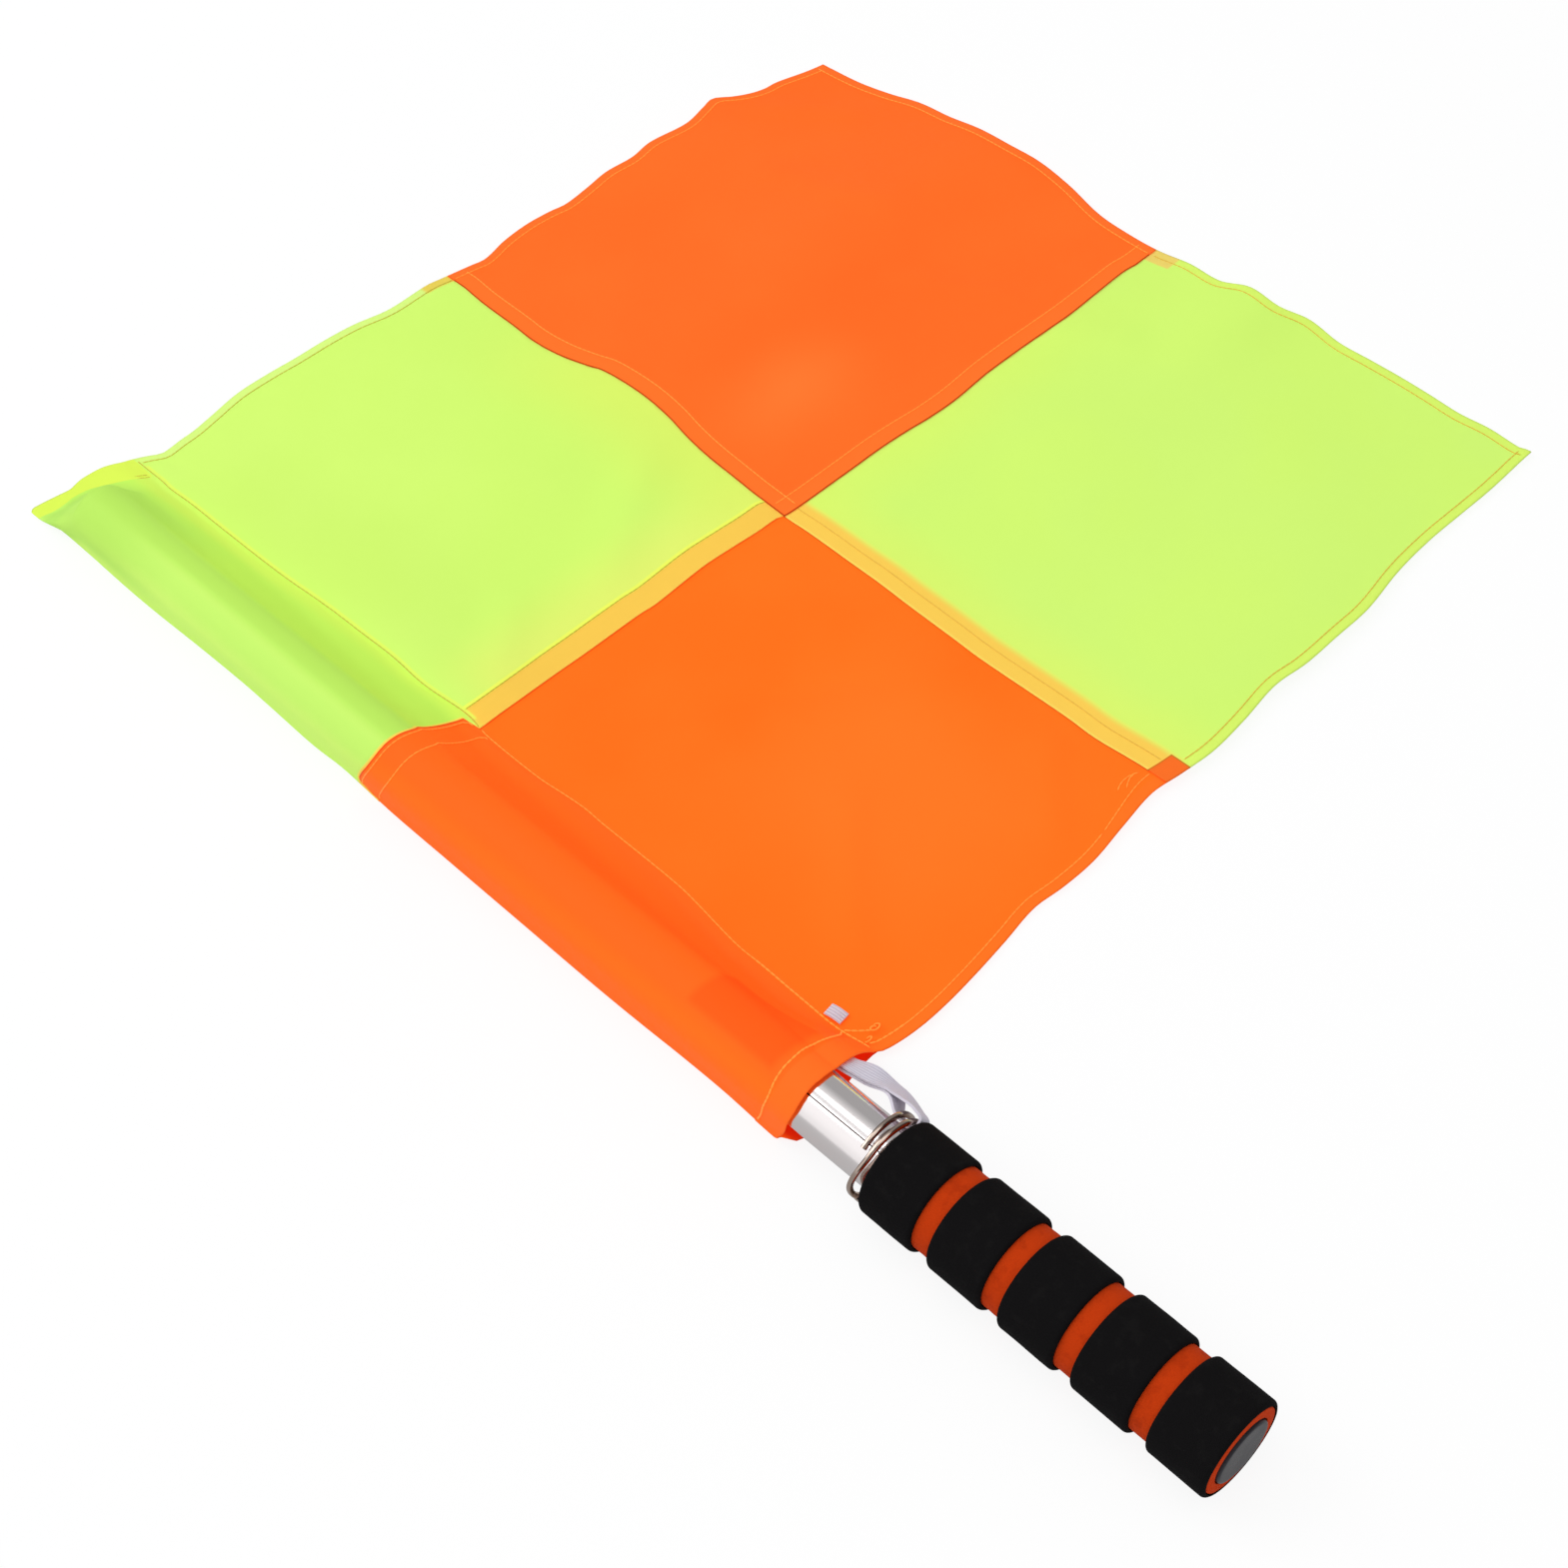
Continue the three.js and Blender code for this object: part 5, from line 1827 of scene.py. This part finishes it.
    def tab(self, material: bpy.types.Material) -> bpy.types.Object:
        """Builds the elastic's end that shows on the cloth beside the stitch line.

        Args:
            material: The elastic's finish.

        Returns:
            The object.
        """
        frames = []
        for share in shares(self.tab_steps):
            point = self.shape.panel(lerp(self.tab_start[0], self.tab_end[0], share),
                                     lerp(self.tab_start[1], self.tab_end[1], share), self.tab_level)
            point.z += self.tab_lift + self.tab_arch * math.sin(math.pi * share)
            frame = Matrix(((0.995, 0.1, 0), (0, 0, 1), (0.1, -0.995, 0))).transposed().to_4x4()
            frame.translation = row(point)
            frames.append(frame)
        narrow, thin = self.tab_scale
        section = [(x * narrow, y * thin) for x, y in self.section(self.tab_ribs)]
        tab = new_object("elastic_tab", swept(section, frames), material, sharp=50)
        return placed(tab, "flag", "white_elastic")


Run = list[tuple[float, float]]


@dataclass
class Stitching:
    """The thread of the hems and seams, stitch by stitch, and its loose ends."""

    shape: FlagShape
    flag: Flag
    length: float = 2.7
    gap: float = -0.7
    thick: float = 0.46
    sunk: float = 0.06
    first: float = 0.6
    mouth_scale: float = 1.5
    mouth_zone: tuple[float, float] = (40.0, 196.0)
    loose_scale: float = 1.3
    loose_steps: int = 26
    loose_overlap: float = 0.25
    loose_start: float = 0.5
    loose_flat: float = 0.62
    loose_lift: tuple[float, float] = (0.5, 1.4)
    left_end: float = 0.72
    panel_steps: int = 240
    sleeve_steps: int = 160
    cross_seams: tuple[float, float] = (9.4, 9.9)
    near_edge: float = 1.6
    fly_seam: float = 6.4
    cross_seam: float = 6.6
    gold_seam: float = 5.5
    flap: float = 7.5
    corner: tuple[float, float] = (28.0, 6.0)
    slant: tuple[tuple[float, float], ...] = ((0.3, 12.0), (7.0, 6.4))
    corner_threads: tuple[tuple[tuple[float, float], ...], ...] = (
        ((119.7, 8.5), (125.0, 11.5), (131.6, 7.9)), ((122.4, 6.8), (127.6, 10.3), (130.3, 8.6)))
    finish: Thread = Thread("sewing thread", srgb(255, 156, 48), srgb(252, 140, 42))
    yellow_finish: Thread = Thread("sewing thread on yellow", srgb(212, 198, 56), srgb(200, 186, 48), 0.08)
    pale_finish: Thread = Thread("sewing thread on the fly quarter", srgb(224, 184, 60), srgb(214, 174, 54), 0.2)

    def surface(self, quarter: Quarter, place: tuple[float, float]) -> Vector:
        """Gives the middle of a quarter's cloth at a place, where a u below 0 is a share of the sleeve's section.

        Args:
            quarter: Which quarter.
            place: The place as (u, v).

        Returns:
            The point.
        """
        u, v = place
        if u < 0:
            return self.shape.sleeve(-u, v, self.flag.sleeve_level(quarter, -u))
        return self.shape.panel(u, v, self.flag.levels(quarter, u))

    def raised(self, quarter: Quarter, place: tuple[float, float]) -> Vector:
        """Gives a point on a quarter's upper face, with a little of the thread's own thickness.

        Args:
            quarter: Which quarter.
            place: The place as (u, v).

        Returns:
            The point.
        """
        u, v = place
        here = self.surface(quarter, place)
        across = self.surface(quarter, (u - 0.004 if u < 0 else u + 0.4, v)) - here
        along = self.surface(quarter, (u, v + 0.4)) - here
        normal = across.cross(along).normalized()
        inwards = normal.dot(here - Vector((0, here.y, 8))) < 0 if u < 0 else normal.z < 0
        return here + (-normal if inwards else normal) * (self.flag.thickness / 2 + self.sunk)

    def run(self, bm: bmesh.types.BMesh, quarter: Quarter, path: Run) -> None:
        """Sews a run of stitches along a path of places on a quarter, with thicker thread near the mouth.

        Args:
            bm: The thread's mesh.
            quarter: Which quarter.
            path: Places as (u, v).
        """
        points = [self.raised(quarter, place) for place in path]
        lengths = [0.0]
        for before, after in zip(points, points[1:]):
            lengths.append(lengths[-1] + (after - before).length)
        place, index = self.first, 0
        while place + self.length < lengths[-1]:
            start, index = self.along(points, lengths, place, index)
            end, _ = self.along(points, lengths, place + self.length, index)
            in_zone = start.x < self.mouth_zone[0] and start.y < self.mouth_zone[1]
            thicker = in_zone and quarter is Quarter.BUTT_HOIST
            self.stitch(bm, start, end, self.mouth_scale if thicker else 1.0)
            place += self.length + self.gap

    def along(self, points: Sequence[Vector], lengths: Sequence[float], place: float,
              index: int) -> tuple[Vector, int]:
        """Gives a point on a path.

        Args:
            points: The path.
            lengths: The path's length up to each of its points.
            place: The length at which the point lies.
            index: A step that the point doesn't lie before.

        Returns:
            The point, and the step that it lies in.
        """
        while index < len(points) - 2 and lengths[index + 1] < place:
            index += 1
        span = max(lengths[index + 1] - lengths[index], 1e-6)
        return points[index].lerp(points[index + 1], (place - lengths[index]) / span), index

    def stitch(self, bm: bmesh.types.BMesh, start: Vector, end: Vector, scale: float) -> None:
        """Adds one stitch as a long round seed between two points, some times as thick as plain thread.

        Args:
            bm: The thread's mesh.
            start: Where the stitch starts.
            end: Where it ends.
            scale: How many times as thick it is.
        """
        turn = (end - start).to_track_quat("Z", "Y").to_matrix().to_4x4()
        radius = self.thick * scale / 2 * MM
        size = Matrix.Diagonal((radius, radius, (end - start).length / 2 * MM, 1))
        bmesh.ops.create_icosphere(bm, subdivisions=1, radius=1.0,
                                   matrix=Matrix.Translation(row((start + end) / 2)) @ turn @ size)

    def line(self, start: tuple[float, float], end: tuple[float, float], count: int = 0) -> Run:
        """Gives places along a straight run.

        Args:
            start: The first place.
            end: The last place.
            count: Steps of the run, or 0 for the steps of a panel's run.

        Returns:
            The places.
        """
        return [(lerp(start[0], end[0], share), lerp(start[1], end[1], share))
                for share in shares(count or self.panel_steps)]

    def bow(self, start: tuple[float, float], towards: tuple[float, float], end: tuple[float, float],
            count: int = 16) -> Run:
        """Gives places along a curved run that bends towards a place.

        Args:
            start: The first place.
            towards: The place that the run bends towards.
            end: The last place.
            count: Steps of the run.

        Returns:
            The places.
        """
        first, second = self.line(start, towards, count), self.line(towards, end, count)
        return [(lerp(a[0], b[0], share), lerp(a[1], b[1], share))
                for share, a, b in zip(shares(count), first, second)]

    def runs(self) -> dict[Quarter, list[Run]]:
        """Gives every run of stitches by the quarter whose upper face it shows on.

        Returns:
            The runs by quarter.
        """
        hoist, butt, hem, left = self.shape.hoist, self.shape.butt, self.flag.hem, self.left_end
        width, length = hoist + self.shape.fly, butt + self.shape.tip
        around = [lerp(0.012, left, share) for share in shares(self.sleeve_steps)]
        band = [(-share, self.shape.band_place(share)) for share in around]
        mouth = [(-share, MOUTH_STITCH.at(share)) for share in around]
        upper, lower = butt + self.cross_seams[0], butt - self.cross_seams[1]
        corner = (hoist - self.corner[0], hem)
        return {
            Quarter.TIP_HOIST: [
                self.line((0.3, length - hem), (hoist, length - hem)), self.line((0.2, butt), (0.2, length - 1)),
                self.line((0.5, upper), (hoist, upper)), band, [(u, v + self.near_edge) for u, v in band[:40]]],
            Quarter.TIP_FLY: [
                self.line((hoist, length - hem), (width - 1, length - hem)),
                self.line((width - hem, butt), (width - hem, length - 1)),
                self.line((hoist + self.fly_seam, butt + 1), (hoist + self.fly_seam, length - 1)),
                self.line((hoist + 1, butt + self.cross_seam), (width - 1, butt + self.cross_seam))],
            Quarter.BUTT_HOIST: [
                self.line((0.5, hem), corner), self.line(corner, (hoist - 0.5, self.corner[1])),
                *(self.bow(*thread) for thread in self.corner_threads),
                self.line((0.2, 1), (0.2, butt)), self.line(*self.slant, 12),
                self.line((-0.004, butt - self.near_edge), (-left, butt - self.near_edge)),
                self.line((-0.004, lower), (-left, lower)), mouth],
            Quarter.BUTT_FLY: [
                self.line((hoist + self.flag.mid_overlap, hem), (width - 1, hem)),
                self.line((width - hem, 1), (width - hem, butt)),
                self.line((hoist + self.gold_seam, self.flap), (hoist + self.gold_seam, butt))],
        }

    def loose(self, bm: bmesh.types.BMesh, centre: Vector, size: float, turns: float, lean: float) -> None:
        """Adds a loose end of thread that curls off the cloth.

        Args:
            bm: The thread's mesh.
            centre: The curl's middle.
            size: Its radius where it ends.
            turns: How often it goes round.
            lean: The angle in radians at which it starts.
        """
        low, rise = self.loose_lift
        points = []
        for share in shares(round(self.loose_steps * turns)):
            angle = lean + 2 * math.pi * turns * share
            radius = size * lerp(self.loose_start, 1, share)
            lift = low + rise * math.sin(math.pi * share)
            side = self.loose_flat * radius * math.sin(angle)
            points.append(centre + Vector((radius * math.cos(angle), side, lift)))
        for before, point in zip(points, points[1:]):
            over = (point - before) * self.loose_overlap
            self.stitch(bm, before - over, point + over, self.loose_scale)

    def build(self) -> list[bpy.types.Object]:
        """Builds the thread of each quarter as one piece.

        Returns:
            The objects of the threads.
        """
        finishes = {Quarter.TIP_HOIST: self.yellow_finish, Quarter.BUTT_FLY: self.pale_finish}
        made = []
        for quarter, runs in self.runs().items():
            bm = bmesh.new()
            for path in runs:
                self.run(bm, quarter, path)
            if quarter is Quarter.BUTT_HOIST:
                self.loose(bm, self.surface(quarter, (6.0, 7.4)), 2.1, 1.1, 0.4)
                self.loose(bm, self.surface(quarter, (1.5, 4.4)), 1.5, 0.8, 2.6)
            finish = finishes.get(quarter, self.finish)
            thread = new_object(f"thread_{quarter.name.lower()}", bm, finish.material())
            made.append(placed(thread, "flag", "yellow_cloth"))
        return made


@dataclass
class Studio:
    """The photograph's camera, a pale floor and soft light.

    The levels of what metal mirrors are pairs of place and level. On the floor the place is the distance from the pole
    in metres, and in the room it is the share of the half turn from one side over the top to the other.
    """

    lens: float = 58.404
    sensor: float = 36.0
    near: float = 0.01
    right: tuple[float, float, float] = (0.707242, -0.704766, -0.055801)
    up: tuple[float, float, float] = (0.573318, 0.525565, 0.628560)
    back: tuple[float, float, float] = (-0.413661, -0.476535, 0.775757)
    camera_place: tuple[float, float, float] = (-243.62, -132.27, 608.10)
    lamps: tuple[tuple[str, tuple[float, float, float], float, float], ...] = (
        ("key_light", (-0.75, 1.25, 1.5), 1.3, 11.4), ("fill_light", (-0.9, -0.9, 1.2), 1.2, 2.7),
        ("top_light", (0.1, 0.1, 2.2), 1.4, 7.6))
    floor_size: float = 6.0
    floor_colour: Colour = srgb(246, 246, 247)
    floor_level: float = 1.03
    floor_seen: float = 0.86
    sky: float = 0.5
    mirrored_floor: tuple[tuple[float, float], ...] = (
        (0.0, 0.43), (0.12, 0.5), (0.3, 0.65), (0.6, 0.78), (1.0, 0.84))
    mirrored_dark: Colour = (0.06, 0.04, 0.034, 1.0)
    window_start: tuple[float, float] = (0.02, 0.28)
    window_end: tuple[float, float] = (0.85, 0.55)
    mirrored_room: tuple[tuple[float, float], ...] = (
        (0.0, 0.39), (0.256, 0.39), (0.322, 0.54), (0.389, 0.73), (0.456, 0.815), (0.522, 0.76), (0.583, 0.815),
        (0.656, 0.967), (0.722, 1.05), (0.789, 1.05), (0.856, 1.02), (0.922, 0.945), (1.0, 0.9))

    def build(self) -> None:
        """Builds the camera, the floor, the world and the lamps."""
        self.camera()
        self.floor()
        self.world()
        for name, place, size, power in self.lamps:
            self.lamp(name, place, size, power)
        bpy.context.scene.view_settings.view_transform = "Standard"

    def camera(self) -> None:
        """Places the camera that was solved from the photograph."""
        data = bpy.data.cameras.new("photo_camera")
        data.sensor_fit = "HORIZONTAL"
        data.sensor_width = self.sensor
        data.lens = self.lens
        data.clip_start = self.near
        data.dof.use_dof = False
        camera = bpy.data.objects.new("photo_camera", data)
        turn = Matrix((self.right, self.up, self.back)).transposed().to_4x4()
        turn.translation = row(self.camera_place)
        camera.matrix_world = turn
        bpy.context.scene.collection.objects.link(camera)
        bpy.context.scene.camera = camera

    def lamp(self, name: str, place: tuple[float, float, float], size: float, power: float) -> None:
        """Hangs a soft square lamp that looks at the flag's middle, at a place in metres from it.

        Args:
            name: The lamp's name.
            place: Its place.
            size: Its side in metres.
            power: Its power in watts.
        """
        data = bpy.data.lights.new(name, "AREA")
        data.size = size
        data.energy = power
        lamp = bpy.data.objects.new(name, data)
        lamp.location = place
        lamp.rotation_euler = (-Vector(place)).to_track_quat("-Z", "Y").to_euler()
        bpy.context.scene.collection.objects.link(lamp)

    def floor(self) -> None:
        """Lays the floor, which the camera sees near white and shiny pieces see grey, and which keeps the object's
        shadow.
        """
        bm = bmesh.new()
        bmesh.ops.create_grid(bm, x_segments=1, y_segments=1, size=self.floor_size)
        shader = Shader("studio floor")
        paths = shader.node("ShaderNodeLightPath")
        by_camera = Value(shader, paths.outputs["Is Camera Ray"])
        seen = by_camera.largest(Value(shader, paths.outputs["Is Glossy Ray"]))
        seen = seen.largest(Value(shader, paths.outputs["Is Transmission Ray"]))
        parts = shader.node("ShaderNodeSeparateXYZ", inputs={
            0: shader.node("ShaderNodeTexCoord").outputs["Object"]})
        away = shader.maths("ABSOLUTE", Value(shader, parts.outputs[0]) - ORIGIN.x, 0.0)
        # Painted shade: the floor that shiny pieces mirror is darker the nearer it lies to the pole.
        mirrored = shader.node("ShaderNodeValToRGB", {"stops": self.mirrored_floor}, {0: away}).outputs[0]
        colour = shader.mix(by_camera, mirrored, WHITE)
        matte = shader.node("ShaderNodeBsdfDiffuse", inputs={"Color": self.floor_colour})
        white = shader.node("ShaderNodeEmission", inputs={"Color": colour, "Strength": self.floor_level})
        mixed = shader.node("ShaderNodeMixShader", inputs={
            0: seen * self.floor_seen, 1: matte.outputs[0], 2: white.outputs[0]})
        shader.node("ShaderNodeOutputMaterial", inputs={0: mixed.outputs[0]})
        new_object("studio_floor", bm, shader.owner)

    def world(self) -> None:
        """Fills the room with soft light, and with the walls and lights that polished metal mirrors."""
        bpy.context.scene.world = bpy.data.worlds.new("studio")
        shader = Shader("studio", bpy.context.scene.world)
        paths = shader.node("ShaderNodeLightPath")
        parts = shader.node("ShaderNodeSeparateXYZ", inputs={
            0: shader.node("ShaderNodeTexCoord").outputs["Generated"]})
        turn = shader.maths("ARCTAN2", Value(shader, parts.outputs[2]), Value(shader, parts.outputs[0]))
        ramp = shader.node("ShaderNodeValToRGB", {"stops": self.mirrored_room}, {0: turn * (1 / math.pi)})
        ahead = Value(shader, parts.outputs[1])
        bright = shader.ease(ahead, *self.window_start) * shader.ease(ahead, *self.window_end)
        room = shader.mix(bright, self.mirrored_dark, ramp.outputs[0])
        soft, mirrored, seen = (shader.node("ShaderNodeBackground", inputs={0: colour, 1: level}).outputs[0]
                                for colour, level in ((WHITE, self.sky), (room, 1.0), (WHITE, 1.0)))
        by_gloss = shader.node("ShaderNodeMixShader", inputs={0: paths.outputs["Is Glossy Ray"], 1: soft, 2: mirrored})
        by_camera = shader.node("ShaderNodeMixShader", inputs={
            0: paths.outputs["Is Camera Ray"], 1: by_gloss.outputs[0], 2: seen})
        shader.node("ShaderNodeOutputWorld", inputs={0: by_camera.outputs[0]})


def report(pieces: Iterable[bpy.types.Object]) -> None:
    """Logs each piece's name and its count of faces."""
    for piece in pieces:
        LOG.info("%s: %d faces", piece.name, len(piece.data.polygons))


def corners(box: object) -> list[list[float]]:
    """Gives a box as plain lists of numbers."""
    return [[float(c) for c in corner] for corner in box]


def main() -> None:
    """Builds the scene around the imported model, and reports each piece."""
    logging.basicConfig(level=logging.INFO, format="%(name)s: %(message)s")
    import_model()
    Studio().build()
    shape = FlagShape()
    flag = Flag(shape)
    for assembly in (Pole(), Grip(), SplitRing(), flag, ElasticLoop(shape), Stitching(shape, flag)):
        report(assembly.build())


if __name__ == "__main__":
    main()
